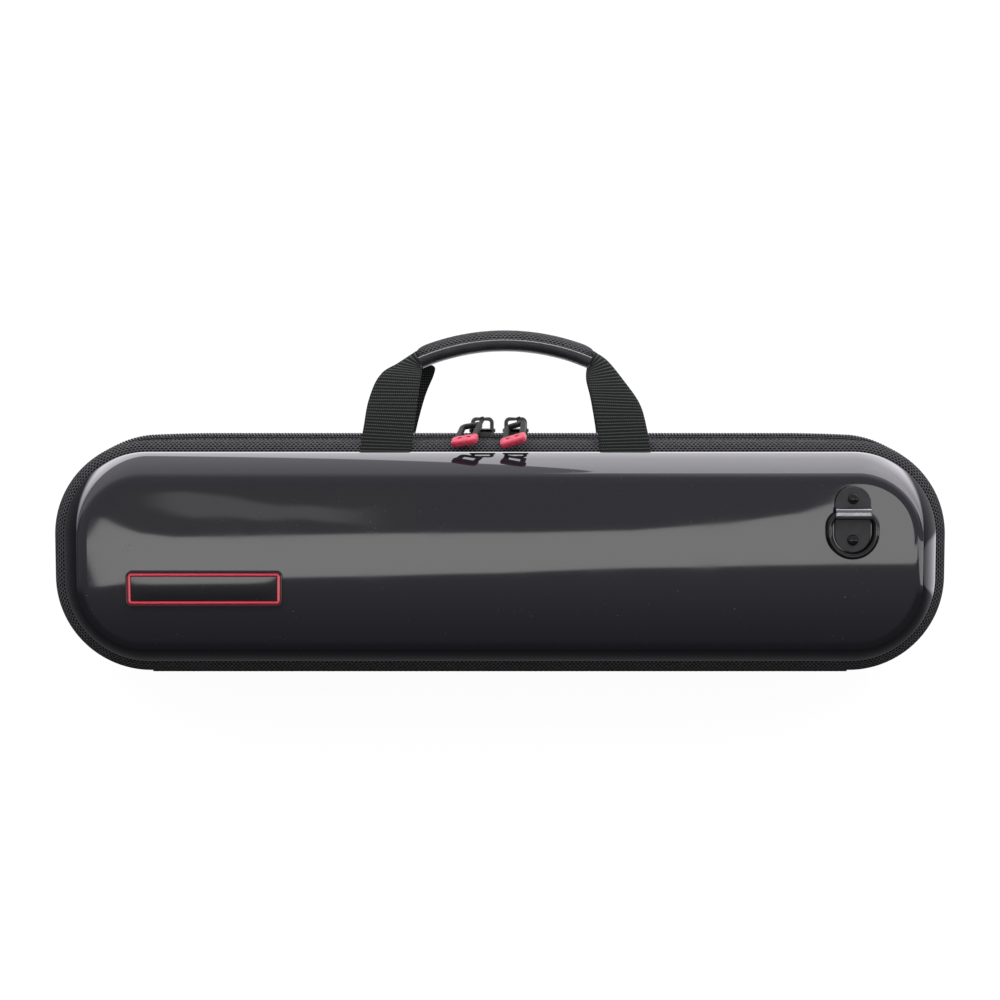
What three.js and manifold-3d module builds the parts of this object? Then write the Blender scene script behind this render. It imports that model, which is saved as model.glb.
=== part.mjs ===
// Flute case of two moulded shells, closed by a zip that runs round its top and both ends.
// Millimetres. Each piece is drawn with the case standing on its spine: x along the case, y from the
// front shell (minus) to the rear shell (plus), z up to the handle. The whole is then laid on its back.
// Round the case, a place is an offset out from the piping's crest and a depth from the zip's plane.
import * as THREE from 'three';
import { mergeVertices } from 'three/addons/utils/BufferGeometryUtils.js';
import Module from 'manifold-3d';

const wasm = await Module();
wasm.setup();

// Case body
const caseLength = 442;
const caseHeight = 115;
const cornerRadius = 47;
const halfDepth = 40;
const seatGap = 0.25;
const cornerSteps = 7;

// Shells
const shellInset = 6.3;
const shellWall = 1.6;
const shoulderWidth = 12.5;
const shoulderDepth = 25;
const shoulderSteps = 5;
const shoulderPower = 2.3;
const rimSetback = 2;

// Piping, edge bands and binding
const pipingWidth = 9;
const pipingSetback = 5.4;
const pipingSteps = 7;
const bandWidth = 5.15;
const bandShoulder = 1.2;
const bandRise = 0.6;
const bandSideDrop = 1;

// Zip
const tapeWidth = 3.8;
const tapeThickness = 0.5;
const coilWidth = 1.9;
const coilHeight = 1.5;
const coilSideShare = 0.75;
const zipEndAngle = 60;
const zipSink = 2.2;
const zipStopAngle = 5;

// Spine hinge
const spineStripWidth = 4;
const spineStripThickness = 0.9;

// Liners, flute bed and lid pad
const linerThickness = 3;
const bedSetback = 2.5;
const channelDepth = 24;
const bodyChannel = { length: 362, width: 33 };
const headChannel = { length: 224, width: 29 };
const footChannel = { length: 134, width: 33 };
const channelWall = 7;
const fingerWellDiameter = 34;
const fingerWellShares = [-0.28, 0.02, 0.3];
const ribNames = ['one', 'two', 'three', 'four'];
const wellSteps = 16;
const padSetback = 5;
const padEdge = 9;
const padCrown = 3;
const padSteps = 4;

// Handle
const handleCentre = 2.5;
const webbingWidth = 25;
const webbingThickness = 1.6;
const legSpread = 59.5;
const legLean = 12;
const legBendHeight = 38;
const legShares = [0, 0.2, 0.5, 0.8, 1];
const legNarrowingShare = 0.1;
const legInwardShare = 0.75;
const legLeanPower = 1.6;
const legInwardPower = 1.5;
const foldHeight = 9;
const foldThickness = 3.2;
const foldShares = [0.35, 0.7, 1];
const foldAcrossPower = 1.3;
const gripHalfLength = 42.6;
const gripArch = 8.7;
const gripTop = 169;
const gripHeight = 10.2;
const gripHalfWidth = 9.5;
const gripSkin = 1.9;
const stripRise = 0.5;
const gripStations = 12;
const gripSteps = 5;
const gripPower = 2.4;

// Zip sliders and pulls
const sliderLength = 13;
const sliderHalfWidth = 2.8;
const sliderPlate = 1.7;
const sliderCheek = 0.6;
const archSpan = 11;
const archHeight = 5.6;
const archThickness = 1.5;
const archCorner = 2.6;
const archWidth = 1.6;
const eyeClearance = 0.25;
const eyeWall = 0.75;
const eyeWidth = 2.2;
const neckLength = 2.4;
const frameWidth = 11.4;
const frameLength = 17.1;
const frameBar = 1.9;
const frameThickness = 1.9;
const frameDrop = 0.2;
const frameInnerCorner = 0.45;
const eyeSteps = 14;
const tipWidth = 13.2;
const tipLength = 7.3;
const tipThickness = 3.2;
const tipCorner = 1.9;
const tipBevel = 1;
const tipOverlap = 2.8;
const pipDiameter = 1.1;
const pipDepth = 0.6;
const pipSpacing = 4.4;
const pipSteps = 8;
const pullDip = 22;
const pulls = [
  { name: 'left', place: -8.8, eyeShift: 0, frameShift: -4.5, twist: 11, roll: 15 },
  { name: 'right', place: 7.8, eyeShift: 1.7, frameShift: -1.6, twist: 4, roll: 20 },
];

// Ring plate, rivets and ring
const plateWidth = 17.4;
const plateLength = 32.4;
const plateThickness = 1.2;
const plateFromEnd = 50;
const plateFromTop = 35.8;
const rivetSpacing = 20.2;
const rivetHead = { diameter: 5.4, height: 1.3 };
const rivetShank = 3;
const rivetTailShare = 0.8;
const rivetDomeShares = [[0.85, 0.6], [0.45, 0.93]];
const keeperOffset = 2.8;
const keeperClearance = 0.3;
const ringWire = 3.1;
const ringWidth = 25.7;
const ringDrop = 20.8;
const ringCorner = 3.2;
const ringLift = 0.7;
const wireSides = 8;
const bowSteps = 12;
const bendSteps = 3;
const backingThickness = 1;
const backingMargin = 3;

// Badge
const badgeSize = { width: 76.2, height: 17.3 };
const badgeFromEnd = 77.1;
const badgeFromSpine = 45.2;
const badgeCorner = 2.3;
const badgeRim = 1.4;
const badgeBorder = 1.1;
const badgeThickness = 1.3;
const badgeRecess = 0.35;
const badgeLeastCorner = 0.35;

// Derived places
const middleGap = seatGap / 2;
const endCentre = caseLength / 2 - cornerRadius;
const lowCentre = cornerRadius;
const highCentre = caseHeight - cornerRadius;
const tapeBase = bandRise + seatGap;
const coilBase = tapeBase + tapeThickness + seatGap;
const coilTop = coilBase + coilHeight;
const spineStripTop = tapeBase + spineStripThickness;
const linerInset = shellInset + shellWall + seatGap;
const linerDepth = halfDepth - shellWall - seatGap;
const bedInset = linerInset + linerThickness + seatGap;
const bedDepth = linerDepth - linerThickness - seatGap;
const platePlace = { x: caseLength / 2 - plateFromEnd, z: caseHeight - plateFromTop };
const badgePlace = { x: badgeFromEnd - caseLength / 2, z: badgeFromSpine };
const cutOverrun = 5;
const degree = Math.PI / 180;

const finishes = {
  gloss: { color: 0x1b1a1f, roughness: 0.08, metalness: 0 },
  mesh: { color: 0x2a2b2a, roughness: 0.9, metalness: 0 },
  tape: { color: 0x242424, roughness: 0.85, metalness: 0 },
  coil: { color: 0x1c1c1e, roughness: 0.45, metalness: 0 },
  webbing: { color: 0x202220, roughness: 0.85, metalness: 0 },
  leathercloth: { color: 0x232427, roughness: 0.5, metalness: 0 },
  plush: { color: 0x1d1d22, roughness: 1, metalness: 0 },
  hardware: { color: 0x131315, roughness: 0.25, metalness: 0.6 },
  rubber: { color: 0xe04a5c, roughness: 0.55, metalness: 0 },
  badgeRed: { color: 0xb8152f, roughness: 0.3, metalness: 0 },
  badgeBlack: { color: 0x0d0d0f, roughness: 0.1, metalness: 0 },
};

// A closed geometry from points and triangles, turned so that its faces point outwards.
function closed(points, triangles) {
  let volume = 0;
  for (const [a, b, c] of triangles) {
    volume += points[a].clone().cross(points[b]).dot(points[c]);
  }
  const index = triangles.flatMap(([a, b, c]) => (volume < 0 ? [a, c, b] : [a, b, c]));
  const geometry = new THREE.BufferGeometry();
  geometry.setAttribute('position', new THREE.Float32BufferAttribute(points.flatMap((p) => p.toArray()), 3));
  geometry.setIndex(index);
  return geometry;
}

// A skin over rings of equally many points. Open runs get flat ends, shaped as the first and last ring.
function loft(rings, isLoop, flatEnd) {
  const count = rings[0].length;
  const triangles = [];
  const spans = isLoop ? rings.length : rings.length - 1;
  for (let i = 0; i < spans; i += 1) {
    const here = i * count;
    const next = ((i + 1) % rings.length) * count;
    for (let k = 0; k < count; k += 1) {
      const j = (k + 1) % count;
      triangles.push([here + k, next + k, next + j], [here + k, next + j, here + j]);
    }
  }
  if (!isLoop) {
    const last = (rings.length - 1) * count;
    for (const [a, b, c] of THREE.ShapeUtils.triangulateShape(flatEnd, [])) {
      triangles.push([a, b, c], [last + a, last + c, last + b]);
    }
  }
  return closed(rings.flat(), triangles);
}

// The point at an offset from an arc's own radius, seen from the arc's centre at its angle.
function arcPoint(station, offset, depth) {
  const reach = station.radius + offset;
  return new THREE.Vector3(
    station.x + reach * Math.cos(station.angle),
    depth,
    station.z + reach * Math.sin(station.angle),
  );
}

function arcStations(x, z, radius, from, to, steps) {
  return Array.from({ length: steps + 1 }, (_, i) => ({
    x, z, radius, angle: (from + ((to - from) * i) / steps) * degree,
  }));
}

// The piping's crest all round the case, as arcs at its four corners.
const outline = [
  ...arcStations(endCentre, lowCentre, cornerRadius, -90, 0, cornerSteps),
  ...arcStations(endCentre, highCentre, cornerRadius, 0, 90, cornerSteps),
  ...arcStations(-endCentre, highCentre, cornerRadius, 90, 180, cornerSteps),
  ...arcStations(-endCentre, lowCentre, cornerRadius, 180, 270, cornerSteps),
];

// The zip's run, from low on one end over the top to low on the other.
const zipRun = [
  ...arcStations(endCentre, lowCentre, cornerRadius, -zipEndAngle, 0, cornerSteps),
  ...arcStations(endCentre, highCentre, cornerRadius, 0, 90, cornerSteps),
  ...arcStations(-endCentre, highCentre, cornerRadius, 90, 180, cornerSteps),
  ...arcStations(-endCentre, lowCentre, cornerRadius, 180, 180 + zipEndAngle, cornerSteps),
];

const spineRun = [
  { x: -endCentre, z: lowCentre, radius: cornerRadius, angle: -90 * degree },
  { x: endCentre, z: lowCentre, radius: cornerRadius, angle: -90 * degree },
];

// A section of [offset, depth] points carried along a run of stations. Points with a sink as their
// third number lie that much lower where the run stands upright at the case's two ends.
function band(section, run, isLoop, side) {
  const rings = run.map((station) => section.map(([offset, depth, sink = 0]) => (
    arcPoint(station, offset - sink * Math.abs(Math.cos(station.angle)), depth * side)
  )));
  return loft(rings, isLoop, section.map(([offset, depth]) => new THREE.Vector2(offset, depth)));
}

// Rings of the case's outline at each [offset, depth] of a profile, with a flat face at both ends.
function moulding(profile, side) {
  const rings = profile.map(([offset, depth]) => (
    outline.map((station) => arcPoint(station, offset, depth * side))
  ));
  return loft(rings, false, outline.map((station) => {
    const place = arcPoint(station, 0, 0);
    return new THREE.Vector2(place.x, place.z);
  }));
}

// The rolled shoulder: a squared ellipse from the side wall at an inset to the flat face at a depth.
function shoulder(inset, faceDepth) {
  return Array.from({ length: shoulderSteps + 1 }, (_, i) => {
    const turn = (i / shoulderSteps) * 90 * degree;
    const across = Math.cos(turn) ** (2 / shoulderPower);
    const along = Math.sin(turn) ** (2 / shoulderPower);
    return [-inset - shoulderWidth * (1 - across), faceDepth - shoulderDepth * (1 - along)];
  });
}

// A tray moulded to the shoulder's form: inner face, inner wall, rim, outer wall, outer face.
function tray(inset, wall, rimDepth, faceDepth, side) {
  const inner = shoulder(inset + wall, faceDepth - wall).reverse();
  const outer = shoulder(inset, faceDepth);
  return moulding([...inner, [-inset - wall, rimDepth], [-inset, rimDepth], ...outer], side);
}

function roundedRectangle(width, height, radius) {
  const shape = new THREE.Shape();
  const x = width / 2 - radius;
  const y = height / 2 - radius;
  shape.absarc(x, y, radius, 0, Math.PI / 2, false);
  shape.absarc(-x, y, radius, Math.PI / 2, Math.PI, false);
  shape.absarc(-x, -y, radius, Math.PI, 1.5 * Math.PI, false);
  shape.absarc(x, -y, radius, 1.5 * Math.PI, 2 * Math.PI, false);
  return shape;
}

// An upright shape, drawn in x and z, given a thickness from one depth back to another.
function upright(shape, nearDepth, farDepth, curveSegments) {
  const geometry = new THREE.ExtrudeGeometry(shape, {
    depth: farDepth - nearDepth, bevelEnabled: false, curveSegments,
  });
  geometry.rotateX(90 * degree);
  geometry.translate(0, farDepth, 0);
  return geometry;
}

function toSolid(geometry) {
  const bare = geometry.clone();
  for (const name of Object.keys(bare.attributes)) {
    if (name !== 'position') bare.deleteAttribute(name);
  }
  const merged = mergeVertices(bare);
  return new wasm.Manifold(new wasm.Mesh({
    numProp: 3,
    vertProperties: new Float32Array(merged.attributes.position.array),
    triVerts: new Uint32Array(merged.index.array),
  }));
}

function toGeometry(solid) {
  const mesh = solid.getMesh();
  const geometry = new THREE.BufferGeometry();
  geometry.setAttribute('position', new THREE.Float32BufferAttribute(mesh.vertProperties, 3));
  geometry.setIndex(Array.from(mesh.triVerts));
  return geometry;
}

function cut(geometry, tools) {
  return toGeometry(tools.reduce((solid, tool) => solid.subtract(toSolid(tool)), toSolid(geometry)));
}

function join(geometries) {
  const [first, ...rest] = geometries.map(toSolid);
  return toGeometry(rest.reduce((solid, other) => solid.add(other), first));
}

function piece(name, geometry, finish) {
  const mesh = new THREE.Mesh(geometry, new THREE.MeshStandardMaterial(finishes[finish]));
  mesh.name = name;
  return mesh;
}

const rivetPlaces = [platePlace.z + rivetSpacing / 2, platePlace.z - rivetSpacing / 2];

function rivetBores(radius, nearDepth, farDepth) {
  return rivetPlaces.map((z) => {
    const bore = new THREE.CylinderGeometry(radius, radius, farDepth - nearDepth, wellSteps);
    bore.translate(platePlace.x, (nearDepth + farDepth) / 2, z);
    return bore;
  });
}

// Shells: gloss trays, the front one bored for the ring plate's two rivets.
function shells() {
  const front = tray(shellInset, shellWall, rimSetback, halfDepth, -1);
  const bores = rivetBores(rivetShank / 2 + seatGap, -halfDepth - cutOverrun, -halfDepth + cutOverrun);
  return [
    piece('front_shell', cut(front, bores), 'gloss'),
    piece('rear_shell', tray(shellInset, shellWall, rimSetback, halfDepth, 1), 'gloss'),
  ];
}

// Soft edge of one half: the piping's half-round bead laps the shell's wall, and between it and the
// zip lies the foam edge band. The binding closes the shell's rim on the inside.
function softEdge(half, side) {
  const pipingBase = -shellInset + seatGap;
  const pipingMiddle = pipingSetback + pipingWidth / 2;
  const bead = Array.from({ length: pipingSteps + 1 }, (_, i) => {
    const turn = (i / pipingSteps) * 180 * degree;
    return [pipingBase * (1 - Math.sin(turn)), pipingMiddle - (pipingWidth / 2) * Math.cos(turn)];
  });
  const edge = [
    [pipingBase, middleGap],
    [bandRise, middleGap, zipSink],
    [bandRise, bandWidth - bandShoulder, zipSink],
    [-bandSideDrop, bandWidth],
    [pipingBase, bandWidth],
  ];
  const binding = [
    [-shellInset, middleGap],
    [-shellInset, rimSetback - seatGap],
    [-shellInset - shellWall, rimSetback - seatGap],
    [-shellInset - shellWall, middleGap],
  ];
  return [
    piece(`${half}_piping`, band(bead, outline, true, side), 'mesh'),
    piece(`${half}_edge_band`, band(edge, outline, true, side), 'mesh'),
    piece(`${half}_binding`, band(binding, outline, true, side), 'tape'),
  ];
}

// Zip of one half: a woven tape on the edge band, with the coil along its free edge.
function zipHalf(half, side) {
  const tape = [
    [tapeBase, middleGap, zipSink],
    [tapeBase + tapeThickness, middleGap, zipSink],
    [tapeBase + tapeThickness, tapeWidth, zipSink],
    [tapeBase, tapeWidth, zipSink],
  ];
  const coil = [
    [coilBase, middleGap, zipSink],
    [coilTop, middleGap, zipSink],
    [coilTop, coilWidth * coilSideShare, zipSink],
    [coilBase + coilHeight / 2, coilWidth, zipSink],
    [coilBase, coilWidth, zipSink],
  ];
  return [
    piece(`${half}_zip_tape`, band(tape, zipRun, false, side), 'tape'),
    piece(`${half}_zip_coil`, band(coil, zipRun, false, side), 'coil'),
  ];
}

// Zip end stops: a tab across the rear tape just past each end of the coil.
function zipStops() {
  const tab = [
    [tapeBase, middleGap, zipSink],
    [coilTop, middleGap, zipSink],
    [coilTop, coilWidth, zipSink],
    [tapeBase + tapeThickness, tapeWidth, zipSink],
    [tapeBase, tapeWidth, zipSink],
  ];
  const start = zipEndAngle + seatGap / (cornerRadius * degree);
  return [[1, 'right', 0], [-1, 'left', 180]].map(([end, name, turn]) => {
    const from = turn - end * start;
    const run = arcStations(end * endCentre, lowCentre, cornerRadius, from, from - end * zipStopAngle, 1);
    return piece(`zip_stop_${name}`, band(tab, run, false, 1), 'tape');
  });
}

// Spine hinge: a fabric strip along the bottom of each half, which meet and fold at the zip's plane.
function spineStrip(half, side) {
  const strip = [
    [tapeBase, middleGap],
    [spineStripTop, middleGap],
    [spineStripTop, spineStripWidth],
    [tapeBase, spineStripWidth],
  ];
  return piece(`spine_strip_${half}`, band(strip, spineRun, false, side), 'tape');
}

// Liners: foam trays inside the shells, the front one recessed for the ring plate's backing.
function liners() {
  const front = tray(linerInset, linerThickness, middleGap, linerDepth, -1);
  const recessWidth = plateWidth + 2 * seatGap;
  const recessLength = rivetSpacing + 2 * backingMargin + 2 * seatGap;
  const recessDepth = backingThickness + rivetHead.height + seatGap;
  const recess = upright(
    roundedRectangle(recessWidth, recessLength, backingMargin),
    -linerDepth - cutOverrun,
    -linerDepth + recessDepth,
    2,
  );
  recess.translate(platePlace.x, 0, platePlace.z);
  return [
    piece('front_liner', cut(front, [recess]), 'plush'),
    piece('rear_liner', tray(linerInset, linerThickness, middleGap, linerDepth, 1), 'plush'),
  ];
}

// Rows of the flute bed: the body's channel above, the head's and the foot's end to end below.
const upperRow = caseHeight / 2 + (bodyChannel.width + channelWall) / 2;
const lowerRow = caseHeight / 2 - (footChannel.width + channelWall) / 2;
const lowerStart = -(headChannel.length + channelWall + footChannel.length) / 2;
const channels = [
  { ...bodyChannel, x: 0, z: upperRow },
  { ...headChannel, x: lowerStart + headChannel.length / 2, z: lowerRow },
  { ...footChannel, x: -lowerStart - footChannel.length / 2, z: lowerRow },
];

// The share of a solid inside a box, given by its lowest and highest corners.
function portion(solid, low, high) {
  const box = new THREE.BoxGeometry(high.x - low.x, high.y - low.y, high.z - low.z);
  box.translate((low.x + high.x) / 2, (low.y + high.y) / 2, (low.z + high.z) / 2);
  return toGeometry(toSolid(solid).intersect(toSolid(box)));
}

// Flute bed: foam on a foam base, which is the channels' floor. A strip lies above and one below, and
// the ribs between the rows stand apart at the finger wells. They meet on the channels' middle lines.
function fluteBed() {
  const solid = moulding([[-bedInset, bedSetback], ...shoulder(bedInset, bedDepth)], 1);
  const floorDepth = bedSetback + channelDepth;
  const cuts = channels.map((channel) => {
    const slot = roundedRectangle(channel.length, channel.width, channel.width / 2);
    const tool = upright(slot, -cutOverrun, halfDepth, cornerSteps);
    tool.translate(channel.x, 0, channel.z);
    return tool;
  });
  const wells = fingerWellShares.map((share) => {
    const radius = fingerWellDiameter / 2;
    const well = new THREE.CylinderGeometry(radius, radius, 2 * halfDepth, wellSteps);
    well.translate(share * bodyChannel.length, 0, caseHeight / 2);
    return well;
  });
  const bed = cut(solid, [...cuts, ...wells]);
  const end = caseLength / 2;
  const breaks = [-end, ...fingerWellShares.map((share) => share * bodyChannel.length), end];
  const ribLow = lowerRow + middleGap;
  const ribHigh = upperRow - middleGap;
  const parts = [
    { name: 'strip_upper', from: -end, to: end, low: upperRow + middleGap, high: caseHeight },
    { name: 'strip_lower', from: -end, to: end, low: 0, high: lowerRow - middleGap },
    ...ribNames.map((name, i) => (
      { name: `rib_${name}`, from: breaks[i], to: breaks[i + 1], low: ribLow, high: ribHigh }
    )),
  ];
  const base = portion(solid, { x: -end, y: floorDepth, z: 0 }, { x: end, y: halfDepth, z: caseHeight });
  return [
    ...parts.map(({ name, from, to, low, high }) => piece(
      `bed_${name}`,
      portion(bed, { x: from, y: 0, z: low }, { x: to, y: floorDepth - seatGap, z: high }),
      'plush',
    )),
    piece('bed_base', base, 'plush'),
  ];
}

// Lid pad: a crowned cushion filling the front liner, its edge rolled in towards the flute.
function lidPad() {
  const roll = Array.from({ length: padSteps + 1 }, (_, i) => {
    const turn = (i / padSteps) * 90 * degree;
    return [-bedInset - padEdge * (1 - Math.sin(turn)), padSetback + padCrown + padEdge * (1 - Math.cos(turn))];
  });
  const crown = [-bedInset - padEdge - shoulderWidth, padSetback];
  return piece('lid_pad', moulding([crown, ...roll, ...shoulder(bedInset, bedDepth)], -1), 'plush');
}

// Handle places shared by strap and grip: the grip's arc and the strap's fold inside it.
const archRadius = (gripHalfLength ** 2 + gripArch ** 2) / (2 * gripArch);
const archCentre = gripTop - gripHeight / 2 - archRadius;
const gripAngle = Math.asin(gripHalfLength / archRadius) / degree;
const foldHalf = gripHeight / 2 - gripSkin;
const strapBase = caseHeight - shellInset + seatGap;
const strapFront = pipingSetback + pipingWidth + seatGap + webbingThickness;

// One section of the strap, from its outer edge to its inner edge, at a depth and thickness.
function strapSection(outer, inner, backDepth, thickness, side) {
  return [
    new THREE.Vector3(outer.x, side * (backDepth + thickness), outer.z),
    new THREE.Vector3(inner.x, side * (backDepth + thickness), inner.z),
    new THREE.Vector3(inner.x, side * backDepth, inner.z),
    new THREE.Vector3(outer.x, side * backDepth, outer.z),
  ];
}

// Handle strap: webbing that rises flat from the shell's rim, leans in, and folds into the grip's end.
function handleStrap(half, side) {
  const entryAngle = 90 - gripAngle - (2 * seatGap) / (archRadius * degree);
  const [entry] = arcStations(0, archCentre, archRadius, entryAngle, entryAngle, 1);
  const entryOuter = arcPoint(entry, foldHeight / 2, 0);
  const entryInner = arcPoint(entry, -foldHeight / 2, 0);
  const legHeight = legBendHeight - foldHeight;
  const leg = legShares.map((share) => {
    const width = webbingWidth * (1 - legNarrowingShare * share ** 2);
    const middle = legSpread - (legLean / 2) * share ** legLeanPower;
    const inward = (strapFront - foldThickness) * legInwardShare * share ** legInwardPower;
    return {
      outer: { x: middle + width / 2, z: strapBase + legHeight * share },
      inner: { x: middle - width / 2, z: strapBase + legHeight * share },
      depth: strapFront - webbingThickness - inward,
      thickness: webbingThickness,
    };
  });
  const top = leg[leg.length - 1];
  const fold = foldShares.map((share) => ({
    outer: {
      x: top.outer.x + (entryOuter.x - top.outer.x) * share ** foldAcrossPower,
      z: top.outer.z + (entryOuter.z - top.outer.z) * share,
    },
    inner: {
      x: top.inner.x + (entryInner.x - top.inner.x) * share,
      z: top.inner.z + (entryInner.z - top.inner.z) * share,
    },
    depth: top.depth * (1 - share) + middleGap * share,
    thickness: webbingThickness + (foldThickness - webbingThickness) * share,
  }));
  const legSections = [...leg, ...fold];
  const place = (section, mirror) => strapSection(
    { x: handleCentre + mirror * section.outer.x, z: section.outer.z },
    { x: handleCentre + mirror * section.inner.x, z: section.inner.z },
    section.depth,
    section.thickness,
    side,
  );
  const inGrip = arcStations(handleCentre, archCentre, archRadius, 90 - gripAngle, 90 + gripAngle, gripStations)
    .map((station) => [
      arcPoint(station, foldHalf, side * (middleGap + foldThickness)),
      arcPoint(station, -foldHalf, side * (middleGap + foldThickness)),
      arcPoint(station, -foldHalf, side * middleGap),
      arcPoint(station, foldHalf, side * middleGap),
    ]);
  const rings = [
    ...legSections.map((section) => place(section, 1)),
    ...inGrip,
    ...legSections.map((section) => place(section, -1)).reverse(),
  ];
  const end = [[0, 0], [1, 0], [1, 1], [0, 1]].map(([x, y]) => new THREE.Vector2(x, y));
  return piece(`handle_strap_${half}`, loft(rings, false, end), 'webbing');
}

// Grip of one half: a mesh-covered pad over the strap's fold and a smooth strip under it.
function grip(half, side) {
  const run = arcStations(handleCentre, archCentre, archRadius, 90 - gripAngle, 90 + gripAngle, gripStations);
  const inside = middleGap + foldThickness + seatGap;
  const lining = foldHalf + seatGap;
  const outer = (from, to, reach) => Array.from({ length: gripSteps + 1 }, (_, i) => {
    const turn = (from + ((to - from) * i) / gripSteps) * degree;
    const up = Math.sign(Math.sin(turn)) * Math.abs(Math.sin(turn)) ** (2 / gripPower);
    return [(gripHeight / 2) * up, middleGap + (reach - middleGap) * Math.cos(turn) ** (2 / gripPower)];
  });
  const partAngle = Math.asin((stripRise / (gripHeight / 2)) ** (gripPower / 2)) / degree;
  const gapAngle = Math.asin(((stripRise + seatGap) / (gripHeight / 2)) ** (gripPower / 2)) / degree;
  const pad = [
    [lining, middleGap],
    ...outer(90, gapAngle, gripHalfWidth),
    [stripRise + seatGap, inside],
    [lining, inside],
  ];
  const strip = [
    [stripRise, inside],
    ...outer(partAngle, -90, gripHalfWidth),
    [-lining, middleGap],
    [-lining, inside],
  ];
  return [
    piece(`grip_pad_${half}`, band(pad, run, false, side), 'mesh'),
    piece(`grip_strip_${half}`, band(strip, run, false, side), 'leathercloth'),
  ];
}

// Zip slider with its pull. The plate and front cheek ride the coils, and the arch's bar carries the
// pull frame's eye. The rubber tip is moulded over the frame's far end.
const barHeight = caseHeight + coilTop + seatGap + sliderPlate + archHeight - archThickness / 2;

function slider(pull) {
  const base = caseHeight + coilTop + seatGap;
  const plate = new THREE.BoxGeometry(sliderLength, 2 * sliderHalfWidth, sliderPlate);
  plate.translate(0, 0, base + sliderPlate / 2);
  const cheekHeight = coilHeight + seatGap + sliderPlate;
  const cheek = new THREE.BoxGeometry(sliderLength - 2 * sliderCheek, sliderCheek, cheekHeight);
  cheek.translate(0, -sliderHalfWidth + sliderCheek / 2, base + sliderPlate - cheekHeight / 2);
  const arch = new THREE.Shape();
  const foot = base + sliderPlate / 2;
  const rise = archHeight + sliderPlate / 2;
  const bend = archSpan / 2 - archCorner;
  const innerCorner = archCorner - archThickness;
  arch.moveTo(-archSpan / 2, 0);
  arch.lineTo(-archSpan / 2, rise - archCorner);
  arch.absarc(-bend, rise - archCorner, archCorner, Math.PI, Math.PI / 2, true);
  arch.absarc(bend, rise - archCorner, archCorner, Math.PI / 2, 0, true);
  arch.lineTo(archSpan / 2, 0);
  arch.lineTo(archSpan / 2 - archThickness, 0);
  arch.absarc(bend, rise - archCorner, innerCorner, 0, Math.PI / 2, false);
  arch.absarc(-bend, rise - archCorner, innerCorner, Math.PI / 2, Math.PI, false);
  arch.lineTo(-archSpan / 2 + archThickness, 0);
  const bridge = upright(arch, -archWidth / 2, archWidth / 2, bendSteps);
  bridge.translate(0, 0, foot);
  const mesh = piece(`zip_slider_${pull.name}`, join([plate, cheek, bridge]), 'hardware');
  mesh.position.x = pull.place;
  return mesh;
}

// Turns a pull's flat pieces about its eye: a twist in their own plane and a roll about their length.
function pullTurn(pull) {
  return new THREE.Matrix4().makeRotationFromEuler(
    new THREE.Euler(0, pull.twist * degree, -pull.roll * degree, 'XYZ'),
  );
}

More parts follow.
